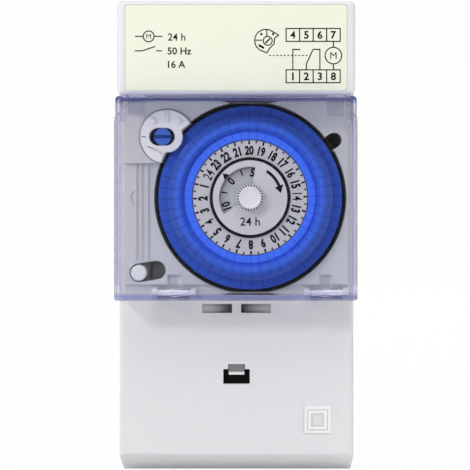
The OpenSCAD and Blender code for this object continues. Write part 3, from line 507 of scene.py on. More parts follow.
def shade_by(tree, shader, mask, colour, depth, roughness, spread):
    """Drives the base colour and roughness of a shader by a mask from 0 to 1."""
    low = [max(0.0, c * (1 - depth)) for c in colour]
    high = [min(1.0, c * (1 + depth)) for c in colour]
    mix = colour_mix(tree, {"A": (*low, 1), "B": (*high, 1)})
    rough = add_node(tree, "MapRange")
    set_inputs(rough, {"To Min": max(0.02, roughness - spread), "To Max": min(1.0, roughness + spread)})
    join(tree, (mask, mix.inputs["Factor"]), (mix.outputs["Result"], shader.inputs["Base Color"]),
         (mask, rough.inputs["Value"]), (rough.outputs["Result"], shader.inputs["Roughness"]))


def bump_by(tree, shader, height, strength):
    """Drives the normal of a shader by a height."""
    bump = add_node(tree, "Bump")
    set_inputs(bump, {"Strength": strength, "Distance": BUMP})
    join(tree, (height, bump.inputs["Height"]), (bump.outputs["Normal"], shader.inputs["Normal"]))


def moulded(name, colour, roughness=0.45, depth=0.025, strength=0.25, specular=0.5, metallic=0.0,
            grain=GRAIN_SCALE, mottle=MOTTLE_SCALE):
    """Moulded plastic or plain metal with grain and a soft mottle."""
    name += "_finish"
    if name in bpy.data.materials:
        return bpy.data.materials[name]
    material, tree, shader = new_material(name)
    texture = add_group(tree, moulding_group(), {"Grain scale": grain, "Mottle scale": mottle})
    shade_by(tree, shader, texture.outputs["Mottle"], colour, depth, roughness, 0.05)
    bump_by(tree, shader, texture.outputs["Height"], strength)
    set_inputs(shader, {"Specular IOR Level": specular, "Metallic": metallic})
    return material


def turned(name, colour, roughness, metallic):
    """Disc finish with fine rings round the dial's middle."""
    name += "_finish"
    if name in bpy.data.materials:
        return bpy.data.materials[name]
    material, tree, shader = new_material(name)
    texture = add_group(tree, turned_group(), {"Middle X": DIAL_AT[0] * MM, "Middle Z": DIAL_AT[1] * MM,
                                               "Ring scale": RING_SCALE})
    shade_by(tree, shader, texture.outputs["Rings"], colour, 0.05, roughness, 0.06)
    bump_by(tree, shader, texture.outputs["Rings"], 0.12)
    shader.inputs["Metallic"].default_value = metallic
    return material


def cover_band(tree):
    """Mask of the painted shade: 1 on the clear cover's upper and lower walls and 0 between them, with
    soft edges.
    """
    lows, highs = node_span("clear_cover")
    place = add_node(tree, "TexCoord")
    height = add_node(tree, "SeparateXYZ")
    band = add_node(tree, "Math", "MAXIMUM")
    join(tree, (place.outputs["Object"], height.inputs["Vector"]))
    for index, (level, soft) in enumerate(((lows[1] + 1.9, -0.5), (highs[1] - 2.2, 0.5))):
        step = add_node(tree, "MapRange")
        set_inputs(step, {"From Min": level * MM, "From Max": (level + soft) * MM})
        join(tree, (height.outputs["Z"], step.inputs["Value"]),
             (step.outputs["Result"], band.inputs[index]))
    return band.outputs["Value"]


def clear_plastic():
    """Clear plastic: a glass shader that lets the light of lamps and of soft bounces through."""
    name = "clear_cover_finish"
    if name in bpy.data.materials:
        return bpy.data.materials[name]
    material, tree, shader = new_material(name)
    texture = add_group(tree, moulding_group(), {"Grain scale": 60.0, "Mottle scale": MOTTLE_SCALE})
    bump_by(tree, shader, texture.outputs["Height"], 0.02)
    set_inputs(shader, {"Roughness": 0.0, "IOR": 1.49, "Specular IOR Level": 0.06,
                        "Transmission Weight": 1.0})
    # Painted shade: the upper and lower walls are tinted darker and bluer than the rest of the cover, and
    # the lamps' light that crosses them is darkened further
    band = cover_band(tree)
    path = add_node(tree, "LightPath")
    glass = colour_mix(tree, {"A": (*colours().clear, 1), "B": (*colours().clear_band, 1)})
    shade = colour_mix(tree, {"B": (*colours().clear_shade, 1)})
    lamp_share = add_node(tree, "Math", "MULTIPLY")
    through = add_node(tree, "BsdfTransparent")
    depth = add_node(tree, "VolumeAbsorption")
    set_inputs(depth, {"Color": (*colours().clear_depth, 1), "Density": 55.0})
    either = add_node(tree, "Math", "MAXIMUM")
    slant = add_node(tree, "LayerWeight")
    straight = add_node(tree, "MapRange")
    set_inputs(straight, {"From Max": 0.2, "To Min": 0.9, "To Max": 0.0})
    share = add_node(tree, "Math", "MAXIMUM")
    mix = add_node(tree, "MixShader")
    output = tree.nodes["Material Output"]
    join(
        tree,
        (band, glass.inputs["Factor"]),
        (glass.outputs["Result"], shader.inputs["Base Color"]),
        (path.outputs["Is Shadow Ray"], lamp_share.inputs[0]),
        (band, lamp_share.inputs[1]),
        (lamp_share.outputs["Value"], shade.inputs["Factor"]),
        (glass.outputs["Result"], shade.inputs["A"]),
        (shade.outputs["Result"], through.inputs["Color"]),
        (depth.outputs["Volume"], output.inputs["Volume"]),
        (path.outputs["Is Shadow Ray"], either.inputs[0]),
        (path.outputs["Is Diffuse Ray"], either.inputs[1]),
        (slant.outputs["Facing"], straight.inputs["Value"]),
        (either.outputs["Value"], share.inputs[0]),
        (straight.outputs["Result"], share.inputs[1]),
        (share.outputs["Value"], mix.inputs["Fac"]),
        (shader.outputs["BSDF"], mix.inputs[1]),
        (through.outputs["BSDF"], mix.inputs[2]),
        (mix.outputs["Shader"], output.inputs["Surface"]),
    )
    return material


def ink_material():
    return moulded("print_ink", colours().ink, roughness=0.6, depth=0.2, strength=0.05, specular=0.08)


def housing_material():
    return moulded("housing_white", colours().housing, roughness=0.42, depth=0.015, strength=0.35)


def tappet_material():
    """Blue plastic of the tappets, with painted shade: darker outside the inner band and darker again on
    the outer slope.
    """
    made = "tappet_blue_finish" in bpy.data.materials
    blue = moulded("tappet_blue", colours().tappet, roughness=0.34, depth=0.05, strength=0.12,
                   grain=2500.0, mottle=300.0, specular=0.1)
    if not made:
        # Painted shade on the groove and on the outer slope of the tappet ring
        darken(blue, DIAL_AT, 20.55, 20.85, 0.74)
        darken(blue, DIAL_AT, 23.2, 24.4, 0.7)
    return blue


def white_material():
    return moulded("knob_white", colours().knob, roughness=0.4, depth=0.02, strength=0.2)


def dark_material():
    return moulded("black_moulding", colours().dark, roughness=0.6, depth=0.15, strength=0.3,
                   specular=0.1)


def silver_material():
    return turned("silver_disc", colours().silver, 0.42, 0.25)


def steel_material():
    return moulded("zinc_steel", (0.6, 0.61, 0.63), roughness=0.3, depth=0.06, strength=0.1, grain=900.0,
                   metallic=1.0)


def dress(material, *nodes):
    """Gives CAD nodes a material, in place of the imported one."""
    for node in nodes:
        mesh = NODES[node].data
        mesh.materials.clear()
        mesh.materials.append(material)


def tappet_node(hour):
    return f"tappets_hour_{hour:02d}"


def hour_direction(hour):
    """Direction of an hour's line on the dial, in degrees counter-clockwise from the right."""
    return DIAL_TURN + (hour - HOUR_AT_TURN) * HOUR_STEP


# Solids from outlines and profiles

def prism(name, outline, back, front, edge, material, body):
    """Plate with a small bevel: a closed outline carried from the depth back to the depth front.

    The four rings are the outline drawn in by the bevel, the outline twice, and drawn in again.
    """
    inner = drawn_in(outline, edge)
    rings = np.stack([inner, outline, outline, inner])
    depths = np.array([back, back + edge, front - edge, front])[:, None]
    count = len(outline)
    points = on_front(rings[..., 0], rings[..., 1], depths)
    quads = grid_quads(4, count, wrap_columns=True).tolist()
    caps = [list(range(count))[::-1], list(range(3 * count, 4 * count))]
    piece = make_piece(name, points, quads + caps, material, body)
    point_outwards(piece)
    sharpen(piece, 35)


def turned_solid(name, middle, profile, ripple, columns, material, body, replaces=()):
    """Solid of revolution: a profile of radius and depth carried round its middle.

    The radius at the turn a is r - ripple(a) times the profile's third value, so knurls can fade out.
    The first and last points of the profile lie on the axis and close the poles.
    """
    profile = np.asarray(profile, float)
    turns = np.arange(columns) * 360 / columns
    radius = profile[1:-1, 0][:, None] - profile[1:-1, 2][:, None] * ripple(turns)[None, :]
    px, py = polar(radius, turns[None, :])
    rings = on_front(middle[0] + px, middle[1] + py, profile[1:-1, 1][:, None])
    poles = on_front(middle[0], middle[1], profile[[0, -1], 1])
    points = np.concatenate([rings, poles])
    rows = len(profile) - 2
    quads = grid_quads(rows, columns, wrap_columns=True).tolist()
    first_pole = rows * columns
    here = np.arange(columns)
    there = (here + 1) % columns
    last_row = (rows - 1) * columns
    fans = np.concatenate([
        np.stack([np.full(columns, first_pole), there, here], axis=1),
        np.stack([np.full(columns, first_pole + 1), last_row + here, last_row + there], axis=1),
    ]).tolist()
    piece = make_piece(name, points, quads + fans, material, body, replaces)
    point_outwards(piece)
    sharpen(piece, 32)


def carried_ring(name, section, columns, material, body, floor=-100.0):
    """Closed section of radius and depth carried round the dial's axis, and kept above a floor."""
    section = np.asarray(section, float)
    turns = np.arange(columns) * 360 / columns
    place = on_dial(section[None, :, 0], turns[:, None])
    points = on_front(place[..., 0], np.maximum(place[..., 1], floor), section[None, :, 1])
    quads = grid_quads(columns, len(section), wrap_rows=True, wrap_columns=True).tolist()
    ring = make_piece(name, points, quads, material, body)
    point_outwards(ring)
    sharpen(ring, 40)


def capsule_outline(middle, half_run, radius, steps=16):
    """Closed outline of a slot: two half circles whose centres lie half_run to each side."""
    turns = np.linspace(-90, 90, steps)
    px, py = polar(radius, np.concatenate([turns, turns + 180]))
    shift = np.concatenate([np.full(steps, half_run), np.full(steps, -half_run)])
    return np.stack([middle[0] + px + shift, middle[1] + py], axis=-1)


def plain(turns):
    return np.zeros_like(turns)


# Operators, one for each piece or group of like pieces

class TIMER_OT_housing(bpy.types.Operator):
    """Dresses the housing, the label plate and the face plate, and adds their small forms and marks"""
    bl_idname = "timer.housing"
    bl_label = "Housing finishes"

    def execute(self, context):
        dress(housing_material(), "base", "front_housing", "terminal_cover", "terminal_block")
        face = moulded("face_grey", colours().face, roughness=0.4, depth=0.03, strength=0.3, mottle=40.0)
        dress(face, "face_plate")
        label = moulded("label_film", colours().label, roughness=0.35, depth=0.012, strength=0.04,
                        mottle=30.0)
        dress(label, "label_plate")
        self.well()
        self.lip(face)
        mark = Print()
        x, y, radius, width = -30.9, 14.0, 2.6, 0.22
        mark.arc(x, y, radius, width, 118, 242, 18)
        shade = moulded("mark_grey", (0.12, 0.12, 0.13), roughness=0.6, depth=0.1, strength=0.1,
                        specular=0.1)
        mark.lay("face_mark", FACE_DEPTH, shade, "housing", "black_plastic")
        self.terminal_marks()
        return {"FINISHED"}

    def well(self):
        """Dark channel carried round the dial, flat along the lower wall, and painted shade along the
        well's edges.
        """
        inside, wall, outside = 27.2, 29.45, 31.0
        back, floor, front = 28.8, 29.2, 31.05
        section = [(inside, back), (outside, back), (outside, front), (wall, front), (wall, floor),
                   (inside, floor)]
        carried_ring("dial_well_ring", section, 120, dark_material(), "housing", LIP_LOW)
        tool_channel = (29.5, 39.3)
        lever_platform = (91.0, 128.5)
        platform_depth = front_of("face_plate")
        # Painted shade along the well's edge, round the dial and across the lever's platform
        self.well_edge("dial_well_edge", tool_channel[1], tool_channel[0] + 360, 31.0, FACE_DEPTH, 140)
        self.well_edge("dial_well_brow_shade", *lever_platform, platform_depth - 0.6, platform_depth, 20)

    def well_edge(self, name, first, last, back, front, steps):
        """Band of painted shade along the well's edge between two directions: an outer arc and an inner
        arc back.
        """
        turns = np.linspace(first, last, steps)
        inner, outer = WELL_SHADE_BAND
        band = np.concatenate([on_dial(outer, turns), on_dial(inner, turns[::-1])])
        band[:, 1] = np.clip(band[:, 1], LIP_LOW, WELL_TOP)
        prism(name, band, back, front + 0.04, 0.02, dark_material(), "housing")

    def lip(self, material):
        """Strips that carry the face plate down on both sides of the well, and the pockets' floors."""
        wall = 35.5
        heights = np.linspace(LIP_LOW, FACE_LOW, 7)
        reach = np.sqrt(np.maximum(WELL_RADIUS ** 2 - (heights - DIAL_AT[1]) ** 2, 0.0))
        for side, name in SIDES:
            inner = np.stack([DIAL_AT[0] + side * reach, heights], axis=1)
            outer = np.array([(side * wall, FACE_LOW), (side * wall, LIP_LOW)])
            outline = np.concatenate([inner, outer])
            counter_clockwise = outline[::-side]
            prism(f"face_lip_{name}", counter_clockwise, LIP_DEPTH - 0.8, LIP_DEPTH, 0.08, material,
                  "housing")
        for x, name in ((-19.8, "left"), (28.6, "right")):
            floor = rectangle(x - 2.5, x + 2.5, FACE_LOW - 0.2, FACE_LOW + 3.6)
            prism(f"pocket_floor_{name}", floor, LIP_DEPTH - 0.3, LIP_DEPTH, 0.05, white_material(),
                  "housing")

    def seal_shades(self, front):
        """Painted shade in the two seal slots: sloping plates, dark beside the rib and lighter further
        out.
        """
        near, far = 1.48, 10.97
        high = node_span("terminal_cover")[1][1] - 1.62
        low = high - 2.86
        deep, shallow, thickness = front - 1.4, front - 0.4, 0.03
        tone = moulded("seal_floor", (0.6, 0.61, 0.62), roughness=0.6, depth=0.05, strength=0.1,
                       specular=0.2)
        # Painted shade that deepens towards the rib
        darken(tone, (0.0, (low + high) / 2), far, near, 0.12)
        faces = grid_quads(2, 4, wrap_columns=True).tolist() + [[0, 1, 2, 3], [4, 5, 6, 7]]
        for side, name in SIDES:
            x = side * np.array([near, far, far, near])
            z = np.array([deep, shallow, shallow + thickness, deep + thickness])
            points = np.concatenate([on_front(x, low, z), on_front(x, high, z)])
            floor = make_piece(f"seal_floor_{name}", points, faces, tone, "terminal_lid")
            point_outwards(floor)

    def terminal_marks(self):
        """Painted shade on the latch hook's face and a dark plate of painted shade behind it, the seal
        slots, and the square frames with painted highlight and painted shade.
        """
        # Painted shade: the hook's recessed face is grey instead of the housing's white
        hook_shade = moulded("latch_slate", (0.19, 0.19, 0.2), roughness=0.5, depth=0.1, strength=0.2,
                        specular=0.2)
        front = front_of("terminal_block")
        hook = rounded_outline(rectangle(-2.5, 2.5, -41.85, -39.75), 0.1)
        prism("latch_hook_face", hook, front - 0.05, front + 0.1, 0.03, hook_shade, "housing")
        # Painted shade: a dark plate behind the latch window
        back = rounded_outline(rectangle(-5.6, 5.6, -46.4, -38.6), 0.3)
        prism("latch_window_shade", back, front - 3.4, front - 3.0, 0.05, dark_material(), "housing")
        plate = front_of("terminal_cover") - 0.3
        self.seal_shades(plate)
        # Painted highlight on the frames' ridges and painted shade in their grooves, over the moulded
        # relief
        light = moulded("relief_light", (0.86, 0.865, 0.87), roughness=0.4, depth=0.02, strength=0.2)
        shade = moulded("relief_shade", (0.58, 0.585, 0.59), roughness=0.45, depth=0.03, strength=0.2)
        frames, grooves = Print(), Print()
        inset = 0.0
        for lines, width in ((frames, 0.8), (grooves, 0.45), (frames, 0.8), (grooves, 0.35)):
            lines.frame(21.75 + inset, 30.15 - inset, -61.45 + inset, -53.0 - inset, width)
            inset += width
        frames.lay("relief_frames", plate, light, "terminal_lid", "housing_white", 0.32 * MM)
        grooves.lay("relief_grooves", plate, shade, "terminal_lid", "housing_white", 0.31 * MM)


class TIMER_OT_inner_works(bpy.types.Operator):
    """Dresses the movement, the electronics, the terminals and the rail clip"""
    bl_idname = "timer.inner_works"
    bl_label = "Inner works finishes"

    def execute(self, context):
        dress(dark_material(), "centre_cup", "rail_clip", "snap_switch", "movement_frame", "rear_plate")
        dress(steel_material(), "quartz_crystal", "terminal_screws", "housing_screws", "hinge_pins",
              "minute_arbor", "lever_pin", "clip_spring")
        brass = moulded("clamp_brass", (0.62, 0.44, 0.16), roughness=0.3, depth=0.08, strength=0.1,
                        metallic=1.0)
        dress(brass, "terminal_clamps", "motor_pinion")
        dress(white_material(), "intermediate_gear")
        lacquers = (
            ("motor_body", "motor_lacquer", (0.02, 0.02, 0.024), 0.35, 0.1, 0.3),
            ("circuit_board", "board_lacquer", (0.02, 0.14, 0.05), 0.3, 0.12, 0.1),
            ("capacitor", "capacitor_box", (0.42, 0.24, 0.03), 0.35, 0.05, 0.25),
            ("reserve_battery", "battery_sleeve", (0.05, 0.18, 0.07), 0.4, 0.05, 0.25),
            ("switch_plunger", "plunger_red", (0.35, 0.03, 0.02), 0.4, 0.05, 0.25),
        )
        for node, name, colour, roughness, depth, strength in lacquers:
            dress(moulded(name, colour, roughness, depth, strength), node)
        self.spring()
        return {"FINISHED"}

    def spring(self):
        """Round wire carried along a helix with flat end coils."""
        lows, highs = node_span("clip_spring")
        middle = (lows + highs) / 2
        length = highs[1] - lows[1]
        wire, turns, sides, travel = 0.22, 11, 10, 4.0
        radius = (highs[0] - lows[0]) / 2 - wire
        flat_share = 0.08
        t = np.linspace(0, 1, turns * 28 + 1)
        count = len(t)
        turn = 2 * np.pi * turns * t
        sloping = np.clip((t - flat_share) / (1 - 2 * flat_share), 0, 1)
        first = np.clip(t / flat_share, 0, 1)
        last = np.clip((t - 1 + flat_share) / flat_share, 0, 1)
        rise = lows[1] + (length - 2 * wire) * sloping + wire * (first + last)
        out = np.stack([np.cos(turn), 0 * turn, np.sin(turn)], axis=1)
        path = radius * out + np.stack([0 * t + middle[0], rise, 0 * t + middle[2]], axis=1)
        along = np.gradient(path, axis=0)
        along /= np.linalg.norm(along, axis=1)[:, None]
        up = np.cross(along, out)
        around = np.arange(sides) * 2 * np.pi / sides
        ring = out[:, None] * np.cos(around)[:, None] + up[:, None] * np.sin(around)[:, None]
        tube = path[:, None] + wire * ring
        faces = grid_quads(count, sides, wrap_columns=True).tolist()
        faces += [list(range(sides)), list(range((count - 1) * sides, count * sides))[::-1]]
        coil = make_piece("clip_coil", on_front(tube[..., 0], tube[..., 1], tube[..., 2]), faces,
                          steel_material(), "housing", ["clip_spring"])
        point_outwards(coil)
        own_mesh(coil)


class TIMER_OT_clear_cover(bpy.types.Operator):
    """Dresses the hinged cover in clear plastic"""
    bl_idname = "timer.clear_cover"
    bl_label = "Clear cover finish"

    def execute(self, context):
        dress(clear_plastic(), "clear_cover")
        return {"FINISHED"}


class TIMER_OT_tappets(bpy.types.Operator):
    """Makes the blue tappets with round edges, two for each hour, and dresses the dial under them"""
    bl_idname = "timer.tappets"
    bl_label = "Tappet ring"

    def section(self):
        """Outline of a tappet as radius and depth: foot, outer slope, ridge, groove, band and tongue."""
        foot = [(15.8, 34.2), (18.25, 34.2), (18.25, 33.4), (26.15, 33.4)]
        slope = bent((26.3, 33.55), (26.3, 35.2), (26.28, 36.9), 3)
        crest = bent((26.25, 37.1), (24.95, 40.7), (23.0, 41.95), 9)
        inner = bent((22.6, 42.0), (21.7, 41.8), (21.3, 39.75), 8)
        groove = [(21.15, 39.5), (20.8, 39.5)]
        band = bent((20.72, 39.65), (20.65, 40.03), (20.25, 40.03), 5)
        shoulder = bent((18.6, 40.0), (18.27, 40.0), (18.25, 39.7), 4)
        tongue = [(18.25, 35.7), (15.8, 35.7)]
        return np.concatenate([foot, slope, crest, inner, groove, band, shoulder, tongue])

    def execute(self, context):
        outline = self.section()
        gap = math.degrees(sizes().tappet_gap)
        blue = tappet_material()
        for hour in range(1, HOURS + 1):
            self.tappet_pair(hour, outline, gap, blue)
        # Painted shade: the dial and its rim take a darker copy of the tappets' blue
        carrier = moulded("carrier_blue", colours().carrier, roughness=0.4, depth=0.06, strength=0.15,
                          mottle=200.0, specular=0.2)
        dress(carrier, "dial_carrier")
        edge = bent((28.85, 33.3), (29.2, 33.28), (29.25, 32.9), 5)
        rim = np.concatenate([[(26.0, 31.8), (29.25, 31.8)], edge[::-1], [(26.0, 33.3)]])
        carried_ring("dial_rim", rim, 192, carrier, "dial")
        lines = Print()
        for turn in hour_direction(1) + TAPPET_STEP * np.arange(HOURS * TAPPETS_PER_HOUR):
            lines.stroke(*on_dial(26.2, turn), *on_dial(28.95, turn), 0.13)
        seam = moulded("rim_seam", (0.006, 0.015, 0.07), roughness=0.6, depth=0.05, strength=0.1,
                       specular=0.1)
        lines.lay("dial_rim_lines", 33.3, seam, "dial", "dial_blue")
        return {"FINISHED"}

    def tappet_pair(self, hour, outline, gap, material):
        """Section swept round the dial's axis; its two ends are drawn in, so the side edges are round."""
        width = TAPPET_STEP - gap
        steps = np.array([0.0, 0.06, 0.2, width / 2, width - 0.2, width - 0.06, width])
        insets = [0.045, 0.015, 0.0, 0.0, 0.0, 0.015, 0.045]
        rings = np.stack([drawn_in(outline, inset) for inset in insets])
        count = len(outline)
        rows = len(steps)
        points, faces = [], []
        for half in range(TAPPETS_PER_HOUR):
            turns = hour_direction(hour) + half * TAPPET_STEP + gap / 2 + steps
            place = on_dial(rings[..., 0], turns[:, None])
            points.append(on_front(place[..., 0], place[..., 1], rings[..., 1]))
            first = half * rows * count
            quads = grid_quads(rows, count, wrap_columns=True) + first
            last = first + (rows - 1) * count
            faces += quads.tolist()
            faces += [list(range(first, first + count)), list(range(last, last + count))[::-1]]
        piece = make_piece(f"tappet_pair_{hour:02d}", np.concatenate(points), faces, material,
                           f"tappet_pair_{hour:02d}", [tappet_node(hour)])
        point_outwards(piece)
        sharpen(piece, 40)


class TIMER_OT_dial_prints(bpy.types.Operator):
    """Dresses the silver discs and prints the hours, the minutes, the pointer and the arrow on them"""
    bl_idname = "timer.dial_prints"
    bl_label = "Dial prints"

    def execute(self, context):
        dress(silver_material(), "centre_disc")
        dress(turned("hour_silver", (0.54, 0.54, 0.555), 0.45, 0.2), "hour_ring")
        minutes = turned("minute_silver", (0.5, 0.51, 0.53), 0.5, 0.1)
        # Painted shadow of the window's edge: the minute disc darkens towards its rim
        darken(minutes, DIAL_AT, 5.5, 10.8, 0.42)
        dress(minutes, "minute_disc")
        self.hours()
        self.minutes()
        self.pointer()
        return {"FINISHED"}

    def hours(self):
        """Number of each hour, its tick at the edge, and a shorter tick half an hour on."""
        number_radius, number_height, number_bold = 14.85, 3.05, 0.055
        tick_width, half_tick_width = 0.58, 0.5
        ink = Print()
        for hour in range(1, HOURS + 1):
            turn = hour_direction(hour)
            half = turn + HOUR_STEP / 2
            ink.letters(str(hour), *on_dial(number_radius, turn), number_height, number_bold,
                        turn=turn - 90, stretch=0.72)
            ink.stroke(*on_dial(16.75, turn), *on_dial(17.92, turn), tick_width)
            ink.stroke(*on_dial(17.2, half), *on_dial(17.88, half), half_tick_width)
        ink.lay("hour_print", front_of("hour_ring"), ink_material(), "dial", "black_plastic")

    def minutes(self):
        """Number of every tenth minute, with a tick between two of them."""
        number_radius, number_height, number_bold = 7.9, 2.85, 0.04
        tick_width = 0.45
        zero_turn = 139.0
        marks = 12
        ink = Print()
        for index in range(marks):
            turn = zero_turn + index * 360 / marks
            if index % 2 == 0:
                minute = str(index * 60 // marks)
                ink.letters(minute, *on_dial(number_radius, turn), number_height, number_bold,
                            turn=turn - 90, stretch=0.8)
            else:
                ink.stroke(*on_dial(7.3, turn), *on_dial(9.3, turn), tick_width)
        ink.lay("minute_print", front_of("minute_disc"), ink_material(), "minute_hand_setting",
                "black_plastic")

    def pointer(self):
        """Pointer at the window's edge, the curved arrow of the dial's turn, and that turn's length."""
        ink = Print()
        turn, base, half_width = 138.6, 9.72, 6.6
        ink.polygon([on_dial(base, turn + half_width), on_dial(base, turn - half_width),
                     on_dial(11.55, turn)])
        radius, shaft, barb = 9.8, 0.95, 1.4
        tip_turn, barb_turn, shaft_turn, tail_turn = 8.0, 22.0, 20.0, 58.0
        ink.arc(*DIAL_AT, radius, shaft, shaft_turn, tail_turn, 16)
        ink.polygon([on_dial(radius, tip_turn), on_dial(radius + barb, barb_turn),
                     on_dial(radius - barb, barb_turn)])
        ink.letters("24 h", DIAL_AT[0], DIAL_AT[1] - 7.5, 2.6, 0.03)
        ink.lay("centre_print", front_of("centre_disc"), ink_material(), "housing", "black_plastic")


class TIMER_OT_setting_knob(bpy.types.Operator):
    """Makes the knurled setting knob with its dished face, and a dark core that paints shade between its
    teeth
    """
    bl_idname = "timer.setting_knob"
    bl_label = "Setting knob"

    def execute(self, context):
        count = sizes().knurls
        lows, highs = node_span("setting_knob")
        back, front = lows[2], highs[2]
        radius = (highs[0] - lows[0]) / 2
        skirt = back + 1.4
        hub = 1.9
        foot = radius + 0.75
        top = radius + 0.15
        tooth = 0.5
        profile = [
            (0, back, 0), (hub, back, 0), (hub, skirt, 0), (foot - 0.25, skirt, 0),
            (foot, skirt + 0.15, 0.7), (foot - 0.06, skirt + 0.4, 1),
            (top + 0.05, front - 0.4, 1), (top, front - 0.12, 1),
            (top - 0.08, front - 0.03, 1), (top - 0.72, front, 0), (top - 0.9, front - 0.03, 0),
            (top - 1.1, front - 0.15, 0), (top - 2.0, front - 0.22, 0), (0, front - 0.24, 0),
        ]

        def knurl(turns):
            """Rounded teeth: a raised cosine of the turn."""
            return tooth * (0.5 - 0.5 * np.cos(np.radians(turns * count)))

        turned_solid("setting_knob_cap", DIAL_AT, profile, knurl, count * 6, white_material(),
                     "minute_hand_setting", ["setting_knob"])
        # Painted shade: a dark core that shows between the white teeth
        wall = foot - 0.34
        core = [(0, skirt - 0.1, 0), (wall, skirt - 0.05, 0), (wall, skirt + 0.4, 0),
                (top - 0.2, front - 0.45, 0), (top - 0.5, front - 0.35, 0), (0, front - 0.4, 0)]
        shade = moulded("knurl_shade", (0.05, 0.05, 0.053), roughness=0.6, depth=0.1, strength=0.1,
                        specular=0.1)
        turned_solid("setting_knob_painted_shade", DIAL_AT, core, plain, 96, shade, "minute_hand_setting")
        return {"FINISHED"}


class TIMER_OT_switch_lever(bpy.types.Operator):
    """Dresses the switch lever and the override knob, and adds the marks and the dark oval bed of painted
    shade
    """
    bl_idname = "timer.switch_lever"
    bl_label = "Switch lever"

    def execute(self, context):
        grey = moulded("lever_grey", (0.88, 0.88, 0.885), roughness=0.4, depth=0.02, strength=0.25)
        dress(grey, "switch_lever")
        blue = moulded("override_blue", (0.045, 0.14, 0.6), roughness=0.35, depth=0.05, strength=0.15)
        dress(blue, "override_knob")
        self.slot()
        lows, highs = node_span("switch_lever")
        face = highs[2] - 0.3
        root = face - 0.1
        bed = lows[2] + 0.6
        oval = OVERRIDE_AT - np.array([0.16, 0])
        # Painted shade: a dark oval plate in the lever's pocket
        prism("lever_oval_painted_shade", capsule_outline(oval, 1.2, 2.8), bed, bed + 0.08, 0.02, dark_material(),
              "lever")
        bar = rounded_outline([(-28.4, 30.4), (-28.1, 29.7), (-23.9, 27.5), (-23.4, 28.5)], 0.25)
        prism("lever_bar", bar, root, face + 0.35, 0.2, white_material(), "lever")
        rib = rounded_outline(rectangle(-22.75, -21.25, 37.6, 41.3), 0.2)
        prism("lever_rib", rib, root, face + 0.6, 0.28, grey, "lever")
        dot = [(0, root, 0), (0.95, root, 0), (0.95, face + 0.12, 0), (0.8, face + 0.24, 0),
               (0.45, face + 0.28, 0), (0, face + 0.28, 0)]
        for x, side in ((-26.3, "left"), (-18.3, "right")):
            turned_solid(f"lever_dot_{side}", (x, 38.3), dot, plain, 28, grey, "lever")
        mark = Print()
        mark.stroke(-30.0, 33.3, -28.7, 33.3, 0.28)
        mark.lay("lever_mark", face, ink_material(), "lever", "black_plastic")
        return {"FINISHED"}

    def slot(self):
        """Painted shade: a darker floor in the override knob's slot."""
        x, y = OVERRIDE_AT
        half_length = 2.6
        floor = Print()
        floor.stroke(x - half_length, y, x + half_length, y, 1.16)
        # Painted shade on the slot's floor
        slot_shade = moulded("override_slot", (0.02, 0.06, 0.3), roughness=0.5, depth=0.05, strength=0.15,
                       specular=0.1)
        depth = front_of("override_knob") - 0.7
        floor.lay("override_slot_floor", depth, slot_shade, "override", "dial_blue")


class TIMER_OT_mode_button(bpy.types.Operator):
    """Makes the white mode button and the dark slide that carries it"""
    bl_idname = "timer.mode_button"
    bl_label = "Mode button"

    def execute(self, context):
        lows, highs = node_span("mode_button")
        flange_front = lows[2] + 1.2
        root = flange_front - 0.4
        middle = np.array([lows[0] + 2.9, lows[1] + 3.4])
        radius = 2.55
        front = highs[2]
        profile = [
            (0, root, 0), (radius, root, 0), (radius, front - 0.5, 0), (radius - 0.1, front - 0.25, 0),
            (radius - 0.32, front - 0.07, 0), (radius - 0.7, front, 0), (radius - 1.4, front - 0.05, 0),
            (0, front - 0.1, 0),
        ]
        turned_solid("mode_button_cap", middle, profile, plain, 48, white_material(), "button",
                     ["mode_button"])
        # The charcoal finish serves the slide and the plate of painted shade behind its slot
        charcoal = moulded("charcoal_slide", (0.085, 0.085, 0.088), roughness=0.5, depth=0.1,
                           strength=0.3)
        self.bed(middle, lows[2] - 0.4, charcoal)
        slide = rounded_outline(rectangle(lows[0], highs[0], lows[1], highs[1]), 0.8)
        prism("mode_button_slide", slide, lows[2], flange_front, 0.1, charcoal, "button")
        return {"FINISHED"}

    def bed(self, middle, back, material):
        """Dark plate of painted shade behind the slot, hung from the face plate by a leg at each end of
        the slide's run.
        """
        low, high = middle[1] - 3.2, middle[1] + 4.2
        left, right = middle[0] - 3.4, middle[0] + 9.9
        leg, leg_front = 0.4, 30.95
        spans = (("", left, right, back + 0.25), ("_left", left, left + leg, leg_front),
                 ("_right", right - leg, right, leg_front))
        for name, first, last, front in spans:
            plate = rectangle(first, last, low, high)
            prism("mode_button_slot_shade" + name, plate, back, front, 0.05, material, "housing")


